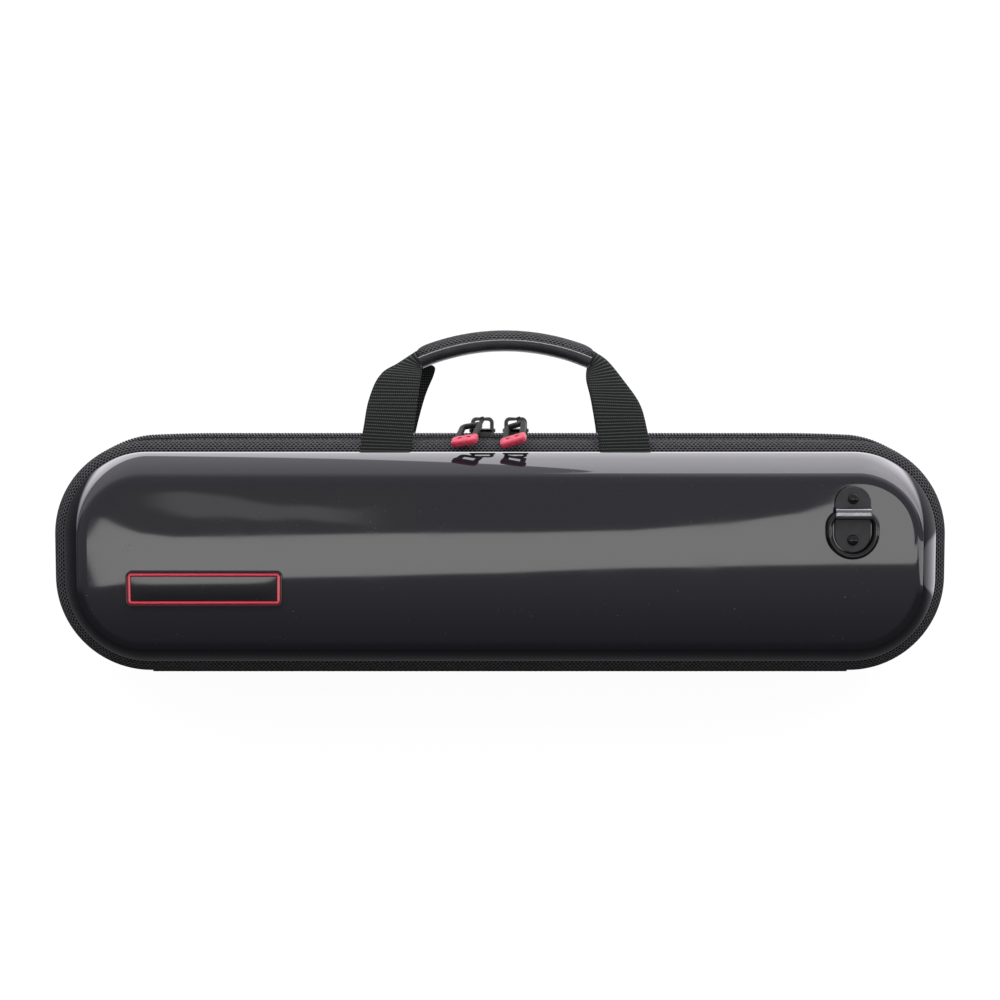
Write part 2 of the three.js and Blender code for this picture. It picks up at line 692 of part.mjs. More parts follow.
function zipPull(pull) {
  const eyeInner = Math.hypot(archThickness, archWidth) / 2 + eyeClearance;
  const eyeOuter = eyeInner + eyeWall;
  const frameTop = -eyeOuter - neckLength;
  const frame = roundedRectangle(frameWidth, frameLength, frameBar / 2);
  frame.holes.push(roundedRectangle(frameWidth - 2 * frameBar, frameLength - 2 * frameBar, frameInnerCorner));
  const frameSolid = upright(frame, -frameThickness / 2, frameThickness / 2, 2);
  frameSolid.translate(pull.frameShift, frameDrop, frameTop - frameLength / 2);
  frameSolid.applyMatrix4(pullTurn(pull));
  const ring = new THREE.Shape();
  ring.absarc(0, 0, eyeOuter, 0, 2 * Math.PI, false);
  const eye = new THREE.ExtrudeGeometry(ring, {
    depth: eyeWidth, bevelEnabled: false, curveSegments: eyeSteps / 2,
  });
  const neck = new THREE.BoxGeometry(eyeWidth, frameThickness, eyeWall + neckLength + frameBar);
  neck.translate(0, frameDrop, -eyeInner - (eyeWall + neckLength + frameBar) / 2);
  const bore = new THREE.CylinderGeometry(eyeInner, eyeInner, eyeWidth + cutOverrun, eyeSteps);
  bore.rotateZ(90 * degree);
  eye.rotateY(90 * degree);
  eye.translate(-eyeWidth / 2, 0, 0);
  const tipPlace = frameTop - frameLength - tipLength / 2 + tipOverlap;
  const tipShape = roundedRectangle(tipWidth, tipLength, tipCorner);
  const tip = new THREE.ExtrudeGeometry(tipShape, {
    depth: tipThickness - 2 * tipBevel,
    bevelThickness: tipBevel,
    bevelSize: tipBevel,
    bevelOffset: -tipBevel,
    bevelSegments: 1,
    curveSegments: bendSteps,
  });
  tip.translate(0, 0, tipBevel - tipThickness / 2);
  tip.rotateX(90 * degree);
  tip.translate(pull.frameShift, frameDrop, tipPlace);
  tip.applyMatrix4(pullTurn(pull));
  const pips = [-pipSpacing / 2, pipSpacing / 2].map((x) => {
    const pip = new THREE.CylinderGeometry(pipDiameter / 2, pipDiameter / 2, 2 * pipDepth, pipSteps);
    pip.translate(x + pull.frameShift, frameDrop - tipThickness / 2, tipPlace);
    pip.applyMatrix4(pullTurn(pull));
    return pip;
  });
  const grown = roundedRectangle(frameWidth + 2 * seatGap, frameLength + 2 * seatGap, frameBar / 2 + seatGap);
  grown.holes.push(roundedRectangle(
    frameWidth - 2 * frameBar - 2 * seatGap,
    frameLength - 2 * frameBar - 2 * seatGap,
    frameInnerCorner,
  ));
  const pocket = upright(grown, -frameThickness / 2 - seatGap, frameThickness / 2 + seatGap, 2);
  pocket.translate(pull.frameShift, frameDrop, frameTop - frameLength / 2);
  pocket.applyMatrix4(pullTurn(pull));
  const group = new THREE.Group();
  group.add(piece(`pull_frame_${pull.name}`, cut(join([frameSolid, eye, neck]), [bore]), 'hardware'));
  group.add(piece(`pull_tip_${pull.name}`, cut(tip, [pocket, ...pips]), 'rubber'));
  group.position.set(pull.place + pull.eyeShift, 0, barHeight);
  group.rotation.x = pullDip * degree - Math.PI / 2;
  return group;
}

// Ring plate: a strip with round ends, raised into a half-round keeper over the ring's bar.
const barZ = platePlace.z + keeperOffset;
const barY = -(halfDepth + ringLift + ringWire / 2);
const keeperInner = ringWire / 2 + keeperClearance;
const keeperOuter = keeperInner + plateThickness;

function ringPlate() {
  const near = -halfDepth - seatGap - plateThickness;
  const far = -halfDepth - seatGap;
  const form = roundedRectangle(plateWidth, plateLength, plateWidth / 2);
  const blank = upright(form, near - keeperOuter - ringWire, far, cornerSteps);
  blank.translate(platePlace.x, 0, platePlace.z);
  const cross = new THREE.Shape();
  const reach = plateLength;
  cross.moveTo(-reach, far);
  cross.lineTo(-reach, near);
  cross.lineTo(-keeperOuter, near);
  cross.absarc(0, barY, keeperOuter, Math.PI, 2 * Math.PI, false);
  cross.lineTo(keeperOuter, near);
  cross.lineTo(reach, near);
  cross.lineTo(reach, far);
  cross.lineTo(keeperInner, far);
  cross.absarc(0, barY, keeperInner, 0, Math.PI, true);
  cross.lineTo(-keeperInner, far);
  const strip = new THREE.ExtrudeGeometry(cross, {
    depth: 2 * plateWidth, bevelEnabled: false, curveSegments: cornerSteps,
  });
  strip.translate(0, 0, -plateWidth);
  strip.applyMatrix4(new THREE.Matrix4().makeBasis(
    new THREE.Vector3(0, 0, 1),
    new THREE.Vector3(0, 1, 0),
    new THREE.Vector3(-1, 0, 0),
  ));
  strip.translate(platePlace.x, 0, barZ);
  const formed = toGeometry(toSolid(blank).intersect(toSolid(strip)));
  const bores = rivetBores(rivetShank / 2 + seatGap, -halfDepth - cutOverrun, -halfDepth + cutOverrun);
  return piece('ring_plate', cut(formed, bores), 'hardware');
}

// Rivets: a domed head outside, a shank through plate, shell and backing, and a set tail inside.
function rivet(name, z) {
  const headBase = halfDepth + 2 * seatGap + plateThickness;
  const tailBase = halfDepth - shellWall - 2 * seatGap - backingThickness;
  const radius = rivetHead.diameter / 2;
  const profile = [
    [0, tailBase - rivetHead.height / 2],
    [radius * rivetTailShare, tailBase - rivetHead.height / 2],
    [radius * rivetTailShare, tailBase],
    [rivetShank / 2, tailBase],
    [rivetShank / 2, headBase],
    [radius, headBase],
    ...rivetDomeShares.map(([out, up]) => [radius * out, headBase + rivetHead.height * up]),
    [0, headBase + rivetHead.height],
  ].map(([r, h]) => new THREE.Vector2(r, h));
  const turned = new THREE.LatheGeometry(profile, wellSteps);
  turned.rotateZ(180 * degree);
  turned.translate(platePlace.x, 0, z);
  return piece(name, turned, 'hardware');
}

function ringBacking() {
  const near = -halfDepth + shellWall + seatGap;
  const length = rivetSpacing + 2 * backingMargin;
  const plate = upright(roundedRectangle(plateWidth, length, backingMargin), near, near + backingThickness, 2);
  plate.translate(platePlace.x, 0, platePlace.z);
  const bores = rivetBores(rivetShank / 2 + seatGap, near - cutOverrun, near + cutOverrun);
  return piece('ring_backing', cut(plate, bores), 'hardware');
}

// Strap ring: round wire bent to a D, its straight bar in the keeper.
function strapRing() {
  const half = (ringWidth - ringWire) / 2;
  const section = Array.from({ length: wireSides }, (_, i) => {
    const turn = ((i + 0.5) / wireSides) * 360 * degree;
    return [(ringWire / 2) * Math.cos(turn), barY + (ringWire / 2) * Math.sin(turn)];
  });
  const run = [
    ...arcStations(half - ringCorner, barZ - ringCorner, ringCorner, 0, 90, bendSteps),
    ...arcStations(-half + ringCorner, barZ - ringCorner, ringCorner, 90, 180, bendSteps),
    ...arcStations(0, barZ - ringDrop + half, half, 180, 360, bowSteps),
  ];
  const wire = band(section, run, true, 1);
  wire.translate(platePlace.x, 0, 0);
  return piece('strap_ring', wire, 'hardware');
}

// Badge: a rim frame, an inlaid border and a plain field, stepped down from one to the next.
function badge() {
  const face = -halfDepth - seatGap;
  const layer = (outerInset, innerInset, height) => {
    const sized = (inset) => roundedRectangle(
      badgeSize.width - 2 * inset,
      badgeSize.height - 2 * inset,
      Math.max(badgeCorner - inset, badgeLeastCorner),
    );
    const shape = sized(outerInset);
    if (innerInset > 0) shape.holes.push(sized(innerInset));
    const geometry = upright(shape, face - height, face, bendSteps);
    geometry.translate(badgePlace.x, 0, badgePlace.z);
    return geometry;
  };
  const borderEdge = badgeRim + badgeBorder;
  return [
    piece('badge_rim', layer(0, badgeRim, badgeThickness), 'badgeBlack'),
    piece('badge_border', layer(badgeRim + seatGap, borderEdge, badgeThickness), 'badgeRed'),
    piece('badge_field', layer(borderEdge + seatGap, 0, badgeThickness - badgeRecess), 'badgeBlack'),
  ];
}

const standing = new THREE.Group();
standing.add(...shells(), ...liners(), ...fluteBed(), lidPad());
for (const [half, side] of [['front', -1], ['rear', 1]]) {
  standing.add(...softEdge(half, side), ...zipHalf(half, side), spineStrip(half, side));
  standing.add(handleStrap(half, side), ...grip(half, side));
}
standing.add(...zipStops());
for (const pull of pulls) {
  standing.add(slider(pull), zipPull(pull));
}
standing.add(ringPlate(), ringBacking(), strapRing(), ...badge());
standing.add(rivet('ring_rivet_upper', rivetPlaces[0]), rivet('ring_rivet_lower', rivetPlaces[1]));

// Laid on the rear shell, handle towards minus Y, with the origin under the middle of the whole.
standing.rotation.x = Math.PI / 2;
const turned = new THREE.Group();
turned.add(standing);
turned.rotation.y = Math.PI;
turned.position.set(0, (gripTop - spineStripTop) / 2, halfDepth);

const fluteCase = new THREE.Group();
fluteCase.add(turned);

export default fluteCase;
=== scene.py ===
"""Zipped hard-shell flute case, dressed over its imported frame, in metres in the frame's own place."""

import bpy
import numpy as np
from mathutils import Matrix


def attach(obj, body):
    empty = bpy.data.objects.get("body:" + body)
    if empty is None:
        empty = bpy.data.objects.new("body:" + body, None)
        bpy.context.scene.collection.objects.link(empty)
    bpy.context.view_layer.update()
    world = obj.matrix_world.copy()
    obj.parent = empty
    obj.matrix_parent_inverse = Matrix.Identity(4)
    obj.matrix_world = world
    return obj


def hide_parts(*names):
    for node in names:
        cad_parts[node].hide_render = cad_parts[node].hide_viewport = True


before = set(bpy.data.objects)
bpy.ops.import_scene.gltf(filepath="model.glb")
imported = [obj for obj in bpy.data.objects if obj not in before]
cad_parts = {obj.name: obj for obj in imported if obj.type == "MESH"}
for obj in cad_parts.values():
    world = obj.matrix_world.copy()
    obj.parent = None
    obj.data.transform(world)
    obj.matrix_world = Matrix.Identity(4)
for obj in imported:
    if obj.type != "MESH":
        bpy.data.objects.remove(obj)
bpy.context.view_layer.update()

# Camera: the case lies on its rear shell, so the photograph's level view from in front becomes a
# view from above, tilted six degrees towards the handle. The handle points to the top of the frame.
camera_distance, half_view = 1.3, 0.25
camera_tilt = np.radians(6.0)
camera_target = np.array([0.0, -0.000675, 0.04])
camera_back = np.array([0.0, -np.sin(camera_tilt), np.cos(camera_tilt)])
camera_right = np.array([-1.0, 0.0, 0.0])
camera_up = np.cross(camera_back, camera_right)
camera_place = camera_target + camera_distance * camera_back
camera_turn = Matrix(np.stack([camera_right, camera_up, camera_back], 1).tolist()).to_4x4()
camera = bpy.data.objects.new("camera", bpy.data.cameras.new("camera"))
camera.data.sensor_fit = "HORIZONTAL"
camera.data.angle = 2 * np.arctan(half_view / camera_distance)
camera.matrix_world = Matrix.Translation(camera_place) @ camera_turn
bpy.context.scene.collection.objects.link(camera)
bpy.context.scene.camera = camera
bpy.context.scene.view_settings.view_transform = "Standard"


# Studio: a floor white to the camera, with painted shade and painted reflections in it, a room that is
# pale by the handle and dark behind the spine, and three lamps under cloth. The shell's gloss shows the
# lamps as a long band, a soft streak and a bright end.
class Value:
    """A shader output that takes part in plain arithmetic. Each operator adds one Math node."""

    def __init__(self, board, output):
        self.board, self.output = board, output

    def math(self, operation, *others):
        inputs = dict(enumerate([self, *others]))
        return self.board.node("Math", {"operation": operation}, inputs)

    def __add__(self, other):
        return self.math("ADD", other)

    def __sub__(self, other):
        return self.math("SUBTRACT", other)

    def __neg__(self):
        return self.math("MULTIPLY", -1.0)

    def __rsub__(self, other):
        return -self + other

    def __abs__(self):
        return self.math("ABSOLUTE")

    def __mul__(self, other):
        return self.math("MULTIPLY", other)

    __radd__ = __add__
    __rmul__ = __mul__

    def over(self, low, high):
        """0 below low, 1 above high, and a smooth step between them."""
        settings = {"interpolation_type": "SMOOTHSTEP"}
        inputs = {"Value": self, "From Min": low, "From Max": high}
        return self.board.node("MapRange", settings, inputs, "Result")


class Board:
    """A node tree. node() adds any node: its type, its settings, then the values or links of its sockets."""

    def __init__(self, tree):
        self.tree = tree
        tree.nodes.clear()

    def node(self, kind, settings=None, inputs=None, output=0):
        made = self.tree.nodes.new("ShaderNode" + kind)
        for name, setting in (settings or {}).items():
            setattr(made, name, setting)
        for name, value in (inputs or {}).items():
            if isinstance(value, Value):
                self.tree.links.new(value.output, made.inputs[name])
            else:
                made.inputs[name].default_value = value
        return Value(self, made.outputs[output]) if len(made.outputs) else made

    def blend(self, share, low, high):
        """A colour between two colours."""
        settings = {"data_type": "RGBA"}
        return self.node("Mix", settings, {"Factor": share, "A": low, "B": high}, 2)

    def parts(self, vector):
        """The x, y and z of a vector."""
        split = self.node("SeparateXYZ", None, {"Vector": vector}).output.node
        return [Value(self, output) for output in split.outputs]

    def place(self):
        """Where a point of the surface is, in metres."""
        return self.node("TexCoord", None, None, "Object")

    def noise(self, scale, detail):
        """Soft noise round 0.5, with so many waves to the metre."""
        return self.node("TexNoise", None, {"Vector": self.place(), "Scale": scale, "Detail": detail})

    def glow(self, strength, colour=(1, 1, 1, 1)):
        """A surface that shines of itself."""
        return self.node("Emission", None, {"Color": colour, "Strength": strength})

    def mix(self, share, first, second):
        """A surface or light between two others."""
        return self.node("MixShader", None, {0: share, 1: first, 2: second})

    def rays(self):
        """1 where the camera looks straight at this, and 1 where a gloss surface mirrors it."""
        path = self.node("LightPath").output.node
        return [Value(self, path.outputs[name]) for name in ("Is Camera Ray", "Is Glossy Ray")]


def tone(red, green, blue):
    """An sRGB colour from 0 to 255 as linear red, green, blue and full alpha."""
    share = np.array([red, green, blue]) / 255
    linear = np.where(share <= 0.04045, share / 12.92, ((share + 0.055) / 1.055) ** 2.4)
    return (*linear.tolist(), 1.0)


world = bpy.data.worlds.new("room")
bpy.context.scene.world = world
world.use_nodes = True
room = Board(world.node_tree)
lamp_white = (0.96, 0.94, 1, 1)


def air(strength, colour=(1, 1, 1, 1)):
    """Light from all round."""
    return room.node("Background", None, {"Color": colour, "Strength": strength})


to_left, to_spine, to_top = room.parts(room.node("TexCoord", None, None, "Generated"))
low_down = 1 - to_top.over(-0.1, 0.55)
on_right = (-to_left).over(0.01, 0.1)
before_spine = 1 - to_spine.over(0.08, 0.3)
at_the_ends = abs(to_left).over(0.92, 0.97) * to_top.over(0.0, 0.04)
paleness = low_down * (on_right * 0.8 + 0.7) + 0.5
mirrored_room = paleness * before_spine * (1 - at_the_ends * 0.75) + 0.12
from_handle = (-to_spine).over(0.1, 0.95)
seen, in_gloss = room.rays()
lit_room = room.mix(in_gloss, air(from_handle * 3.6 + 0.16, (1, 0.99, 1, 1)), air(mirrored_room, lamp_white))
room.node("OutputWorld", None, {"Surface": room.mix(seen, lit_room, air(1.0))})


def staged(name, corners, faces, build):
    """A piece of the studio from its corners and faces. build gets the board and returns its surface."""
    mesh = bpy.data.meshes.new(name)
    mesh.from_pydata(corners, [], faces)
    paint = bpy.data.materials.new(name)
    paint.use_nodes = True
    board = Board(paint.node_tree)
    board.node("OutputMaterial", None, {"Surface": build(board)})
    mesh.materials.append(paint)
    piece = bpy.data.objects.new(name, mesh)
    bpy.context.scene.collection.objects.link(piece)


def panel(name, low, high, build):
    """A flat piece of the studio between two opposite corners, square to the room."""
    steps = np.diag(np.subtract(high, low))
    first, second = steps[np.any(steps, axis=1)]
    corners = low + np.stack([0 * first, first, first + second, second])
    staged(name, corners.tolist(), [(0, 1, 2, 3)], build)


def floor_paint(board):
    """White to the camera, and matt white to all else but near-black under the spine, a painted shade.
    In a gloss surface it glows with painted reflections: under the handle the pool of a lamp, as wide
    as the angle at which the case's top looks down on it, a faint light beside the case's right end,
    and a brighter patch further out."""
    top_edge_y, top_edge_height, pool_fade = -0.0255, 0.055, 0.09
    seen, in_gloss = board.rays()
    floor_x, floor_y, _ = board.parts(board.place())
    # Painted reflections: seen only in gloss, the floor glows as a lamp's pool, a faint light and a patch.
    angle = (top_edge_y - floor_y).math("ARCTAN2", top_edge_height)
    pool_edge = (floor_x * (-1 / pool_fade)).math("EXPONENT") * 0.42 + 0.63
    inside = (pool_edge - angle).over(-0.02, 0.02)
    bright = (angle - 0.8).math("MAXIMUM", 0.0) * 3.6 + 2.6
    dim = angle * 0.85 + 0.11
    beside = (-floor_x).over(0.205, 0.225) * (1 - floor_y.over(0.03, 0.09)) * 0.16
    beyond = -0.22 - floor_x
    aside = floor_y - beyond * 0.12
    end_patch = beyond.over(0.0, 0.01) * aside.over(0.016, 0.022) * (1 - aside.over(0.05, 0.056)) * 0.7
    painted_reflection = (inside * bright + (1 - inside) * dim) * angle.over(0.0, 0.3) + beside + end_patch + 0.06
    # Painted shade: the floor is near-black under the spine for every ray but the camera's.
    painted_shade_under_spine = floor_y.over(-0.05, 0.15) * (1 - seen)
    shade = board.blend(painted_shade_under_spine, (0.8, 0.8, 0.8, 1), (0.04, 0.04, 0.04, 1))
    shown = board.mix(seen * 0.86, board.node("BsdfDiffuse", None, {"Color": shade}), board.glow(1.1))
    return board.mix(in_gloss, shown, board.glow(painted_reflection, lamp_white))


def veil(board):
    """A thin cloth that is lit in one soft, wavy streak and is otherwise as dark as the room above."""
    across, up, _ = board.parts(board.place())
    wave = board.noise(9.0, 1.0) * 0.09 - 0.045
    middle = abs(up + wave + across * 0.12 - 0.105)
    streak = (1 - middle.over(0.022, 0.04)) * across.over(0.12, 0.22) * (1 - across.over(0.4, 0.46))
    return board.glow(streak * 0.85 + 0.63, (0.98, 0.98, 1, 1))


def end_cloth(board):
    """A lamp's cloth at the end of the room, evenly lit."""
    return board.glow(3.4)


def strip_cloth(board):
    """The long lamp's cloth overhead, evenly lit."""
    return board.glow(4.05)


panel("floor", (-4, -4, 0), (4, 4, 0), floor_paint)
panel("veil", (0.1, 0.0, 1.91), (0.48, 0.2, 1.91), veil)
panel("end_panel", (-1.1, 0.102, 0.1), (-1.1, 0.19, 1.85), end_cloth)
strip_height = 1.9
near_edge = np.array([
    [0.532, 0.197], [0.504, 0.097], [0.483, 0.125], [0.451, 0.153], [0.406, 0.168], [0.242, 0.16],
    [0.0, 0.153], [-0.159, 0.146], [-0.283, 0.117], [-0.369, 0.082], [-0.413, 0.045], [-0.44, -0.04],
    [-0.57, -0.06], [-0.575, 0.2], [-1.1, 0.2],
])
far_edge = np.array([
    [0.532, 0.197], [0.515, 0.35], [0.473, 0.334], [0.264, 0.315], [0.0, 0.297], [-0.16, 0.279],
    [-0.328, 0.268], [-0.57, 0.265], [-1.1, 0.265],
])
strip_x = np.unique(np.concatenate([near_edge[:, 0], far_edge[:, 0]]))
count = len(strip_x)
strip_y = np.concatenate([np.interp(strip_x, edge[::-1, 0], edge[::-1, 1]) for edge in (near_edge, far_edge)])
corners = np.stack([np.tile(strip_x, 2), strip_y, np.full(2 * count, strip_height)], 1)
k = np.arange(count - 1)
staged("strip_softbox", corners, np.stack([k, k + count, k + count + 1, k + 1], 1).tolist(), strip_cloth)


# Shells: two trays of thick gloss plastic, blown over a mould. The walls are straight at the zip,
# roll over into a broad shoulder, and end in a face that is crowned a millimetre.
origin_height, half_depth = 83.625, 40.0
halves = (("front", -1), ("rear", 1))


def laid(x, depth, z):
    """Places on the standing case in mm (x right, depth back from the zip, z up), laid in the frame."""
    x, depth, z = np.broadcast_arrays(*(np.asarray(part, float) for part in (x, depth, z)))
    return np.stack([-x, origin_height - z, half_depth - depth], -1) / 1000


def quads(rows, columns, loop_rows=False, loop_columns=False):
    """Corner numbers of a grid's quads, carried round where a direction closes on itself."""
    i = np.arange(rows - (not loop_rows))[:, None]
    j = np.arange(columns - (not loop_columns))[None]
    near, far = i * columns, (i + 1) % rows * columns
    left, right = j, (j + 1) % columns
    return np.stack([near + left, far + left, far + right, near + right], -1).reshape(-1, 4)


def facing_out(points, faces, corner_uv):
    """Turns a closed patch so that its faces point outwards: the sum of a.(b x c) over them is positive."""
    first, second, third = (points[[face[k] for face in faces]] for k in range(3))
    fourth = points[[face[3 % len(face)] for face in faces]]
    volume = (first * np.cross(second, third)).sum() + (first * np.cross(third, fourth)).sum()
    if volume < 0:
        ends = np.cumsum([len(face) for face in faces])
        corner_uv = np.concatenate([part[::-1] for part in np.split(corner_uv, ends[:-1])])
        faces = [face[::-1] for face in faces]
    return points, faces, corner_uv


def make(name, patches, finish, body, replaced="", slot="", crease=35.0):
    """One object from closed patches, in its place in the frame, riding on a body. replaced names the
    CAD nodes that it stands for. Cloth stays out of the shells' reflections, as in the photograph."""
    points, faces, uv = zip(*patches)
    starts = np.cumsum([0, *map(len, points)])
    joined = [[start + k for k in face] for start, part in zip(starts, faces) for face in part]
    mesh = bpy.data.meshes.new(name)
    mesh.from_pydata(np.concatenate(points), [], joined)
    layer = mesh.uv_layers.new(name="cloth")
    layer.data.foreach_set("uv", np.concatenate(uv).astype(np.float32).ravel())
    mesh.shade_smooth()
    mesh.set_sharp_from_angle(angle=np.radians(crease))
    mesh.materials.append(finish)
    piece = bpy.data.objects.new(name, mesh)
    piece.visible_glossy = slot not in ("mesh", "tape", "coil", "webbing", "leathercloth")
    bpy.context.scene.collection.objects.link(piece)
    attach(piece, body)
    if replaced:
        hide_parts(*replaced.split())
    return piece


case_half, middle_height, corner_radius = 221.0, 57.5, 47.0
half_run, half_rise = case_half - corner_radius, middle_height - corner_radius


def spread(straight, count, corner_steps):
    """Along one side of the case: signed bend of each line (0 on the straight, 1 at the corner's end)
    and its run."""
    bend = np.linspace(0, 1, corner_steps + 1)
    signs = np.concatenate([-bend[::-1], np.zeros(count - 1), bend])
    run = np.concatenate([
        np.full(corner_steps + 1, -straight),
        np.linspace(-straight, straight, count + 1)[1:-1],
        np.full(corner_steps + 1, straight),
    ])
    return signs, run


class Oblong:
    """A grid over an oblong with round corners. In a corner square, (a, b) goes to
    (a sqrt(1 - b²/2), b sqrt(1 - a²/2)), which bends the square into a quarter disc."""

    def __init__(self, half_x, half_z, radius, centre, long_steps, short_steps, corner_steps):
        bend_x, run_x = spread(half_x - radius, long_steps, corner_steps)
        bend_z, run_z = spread(half_z - radius, short_steps, corner_steps)
        self.radius, self.centre = radius, centre
        a, b = np.meshgrid(bend_x, bend_z, indexing="ij")
        self.run_x, self.run_z = np.meshgrid(run_x, run_z, indexing="ij")
        self.across, self.up = a * np.sqrt(1 - b**2 / 2), b * np.sqrt(1 - a**2 / 2)
        rows, columns = a.shape
        i, j = np.arange(rows), np.arange(columns)
        self.edge = np.concatenate([
            i * columns, (rows - 1) * columns + j[1:],
            i[-2::-1] * columns + columns - 1, j[-2:0:-1],
        ])

    def spots(self, x, z, across, up, reach):
        """x and z of lines that start on the straights and reach so far into the bends."""
        return self.centre[0] + x + reach * across, self.centre[1] + z + reach * up

    def face(self, offset):
        """x and z of the whole face within the outline moved out by an offset."""
        return self.spots(self.run_x, self.run_z, self.across, self.up, self.radius + offset)

    def rings(self, offsets):
        """x and z of the outline itself at each offset, one row per offset."""
        grids = (self.run_x, self.run_z, self.across, self.up)
        reach = self.radius + np.asarray(offsets, float)[:, None]
        return self.spots(*(grid.ravel()[self.edge] for grid in grids), reach)

    def solid(self, near_face, rings, far_face):
        """A closed patch: one face, rings of the outline from its edge to the far face's, that face."""
        rows, columns = self.run_x.shape
        count, around = rows * columns, len(self.edge)
        points = np.concatenate([near_face.reshape(-1, 3), far_face.reshape(-1, 3), rings.reshape(-1, 3)])
        between = 2 * count + np.arange(len(rings) * around).reshape(-1, around)
        ladder = np.concatenate([self.edge[None], between, count + self.edge[None]])
        face = quads(rows, columns)
        walls = ladder.ravel()[quads(len(ladder), around, False, True)]
        faces = np.concatenate([face, walls, (count + face)[:, ::-1]]).tolist()
        return facing_out(points, faces, np.zeros((4 * len(faces), 2)))


def case_oblong(*steps):
    """The case's own oblong, at the piping's crest."""
    return Oblong(case_half, middle_height, corner_radius, (0.0, middle_height), *steps)


shell_inset, shell_wall, shoulder_width, shoulder_depth = 6.3, 1.6, 12.5, 25.0
roll_end, shell_lip, shell_rim, face_high, face_long = 42.0, 1.0, 2.0, 38.7, 202.0


def crown_drop(x, z):
    """How far the face has fallen from its middle in mm: a parabola across, a fourth power along."""
    return ((z - middle_height) / face_high) ** 2 + 0.5 * (np.abs(x) / face_long) ** 4


def shoulder(inset, face_depth, steps, lip=0.0):
    """Offsets and depths of the roll from the face to the side wall: the last part of an ellipse's
    quarter, stretched over the shoulder. A lip stands that much further out at its foot."""
    turn = np.radians(np.linspace(90, roll_end, steps + 1)[1:])
    last = np.radians(roll_end)
    out = np.cos(turn) / np.cos(last)
    back = (np.sin(turn) - np.sin(last)) / (1 - np.sin(last))
    return (shoulder_width + lip) * out - inset - shoulder_width, face_depth - shoulder_depth * (1 - back)


def tray(outline, inset, wall, face_depth, rim, side, steps, lip=0.0):
    """A crowned face, its shoulder, side wall and rounded rim, and the same shape a wall's thickness in."""
    faces, ladders = [], []
    for here_inset, depth in ((inset, face_depth), (inset + wall, face_depth - wall)):
        x, z = outline.face(-here_inset - shoulder_width)
        faces.append(laid(x, side * (depth - crown_drop(x, z)), z))
        foot = depth - shoulder_depth
        offsets, depths = shoulder(here_inset, depth, steps, lip)
        offsets = np.concatenate([offsets, np.full(3, -here_inset)])
        depths = np.concatenate([depths, foot - (foot - rim) * np.array([0.4, 0.8, 0.97])])
        ring_x, ring_z = outline.rings(offsets)
        edge_x, edge_z = outline.rings([-here_inset - shoulder_width])
        fall = np.clip((depths - foot) / shoulder_depth, 0, 1)[:, None]
        ladders.append(laid(ring_x, side * (depths[:, None] - fall * crown_drop(edge_x, edge_z)), ring_z))
    rim_x, rim_z = outline.rings([-inset - 0.25 * wall, -inset - 0.75 * wall])
    rings = np.concatenate([ladders[0], laid(rim_x, side * rim, rim_z), ladders[1][::-1]])
    return outline.solid(faces[0], rings, faces[1])


def finish(name, colour, roughness, build=None, **fixed):
    """A Principled material. build gets the board and returns what drives its sockets; Relief is
    a pair of a height and its depth in metres, and goes through a Bump node to the normal."""
    made = bpy.data.materials.new(name)
    made.use_nodes = True
    board = Board(made.node_tree)
    driven = build(board) if build else {}
    relief = driven.pop("Relief", None)
    if relief:
        bump = {"Height": relief[0], "Distance": relief[1], "Strength": 1.0}
        driven["Normal"] = board.node("Bump", None, bump)
    sockets = {"Base Color": colour, "Roughness": roughness} | fixed | driven
    board.node("OutputMaterial", None, {"Surface": board.node("BsdfPrincipled", None, sockets)})
    return made


def gloss_build(board):
    """Dust specks in the lacquer, a faint haze, and the slow waves of blown plastic."""
    patches = board.noise(35.0, 3.0).over(0.45, 0.75)
    dust = board.noise(1300.0, 0.0).over(0.83, 0.87) * patches
    return {
        "Base Color": board.blend(dust, tone(24, 23, 28), tone(92, 90, 96)),
        "Roughness": dust * 0.3 + patches * 0.015 + 0.035,
        "Relief": (board.noise(16.0, 1.0), 0.00005),
    }


gloss = finish("shell_gloss", tone(24, 23, 28), 0.05, gloss_build)
for half, side in halves:
    outline = case_oblong(96, 8, 18)
    shell = tray(outline, shell_inset, shell_wall, half_depth, shell_rim, side, 26, shell_lip)
    make(f"{half}_shell_gloss", [shell], gloss, f"{half}_half", f"{half}_shell", "gloss", 60)


# Piping and edge bands: a mesh fabric pulled over a foam cord and over the foam beside the zip, with
# a row of stitches in the groove between them. The fabric is knitted, so its pattern runs with it.
quarter = corner_radius * np.pi / 2
half_round = [quarter, 2 * half_rise, quarter]
stops = np.cumsum([0, half_run, *half_round, 2 * half_run, *half_round, half_run])
round_trip = 4 * half_run + 4 * half_rise + 2 * np.pi * corner_radius
parting = 0.125
dip_run, first_dip, corner_dip = 34.0, 0.3, 1.7


def rail(length):
    """Centre x, centre z and outward angle at a length round the crest, from the middle of the spine."""
    centre_x = np.array([0, 1, 1, 1, 1, -1, -1, -1, -1, 0]) * half_run
    centre_z = np.array([-1, -1, -1, 1, 1, 1, 1, -1, -1, -1]) * half_rise + middle_height
    angle = np.array([-90, -90, 0, 0, 90, 90, 180, 180, 270, 270]) * np.pi / 180
    length = np.mod(length, stops[-1] + 1e-9)
    return tuple(np.interp(length, stops, values) for values in (centre_x, centre_z, angle))


def along(length, offset, depth, sink=0.0):
    """The place at a length round the case, an offset out from the crest and a depth. A sunk one dips
    over the last run of a straight side and on into the corner, by a share of its sink:
    first_dip dip² + corner_dip |cos angle|, and no more than 1."""
    centre_x, centre_z, angle = rail(length)
    dip = np.clip((np.abs(centre_x) - half_run) / dip_run + 1, 0, 1)
    share = np.minimum(first_dip * dip**2 + corner_dip * np.abs(np.cos(angle)), 1)
    reach = corner_radius + offset - sink * share
    return laid(centre_x + reach * np.cos(angle), depth, centre_z + reach * np.sin(angle))


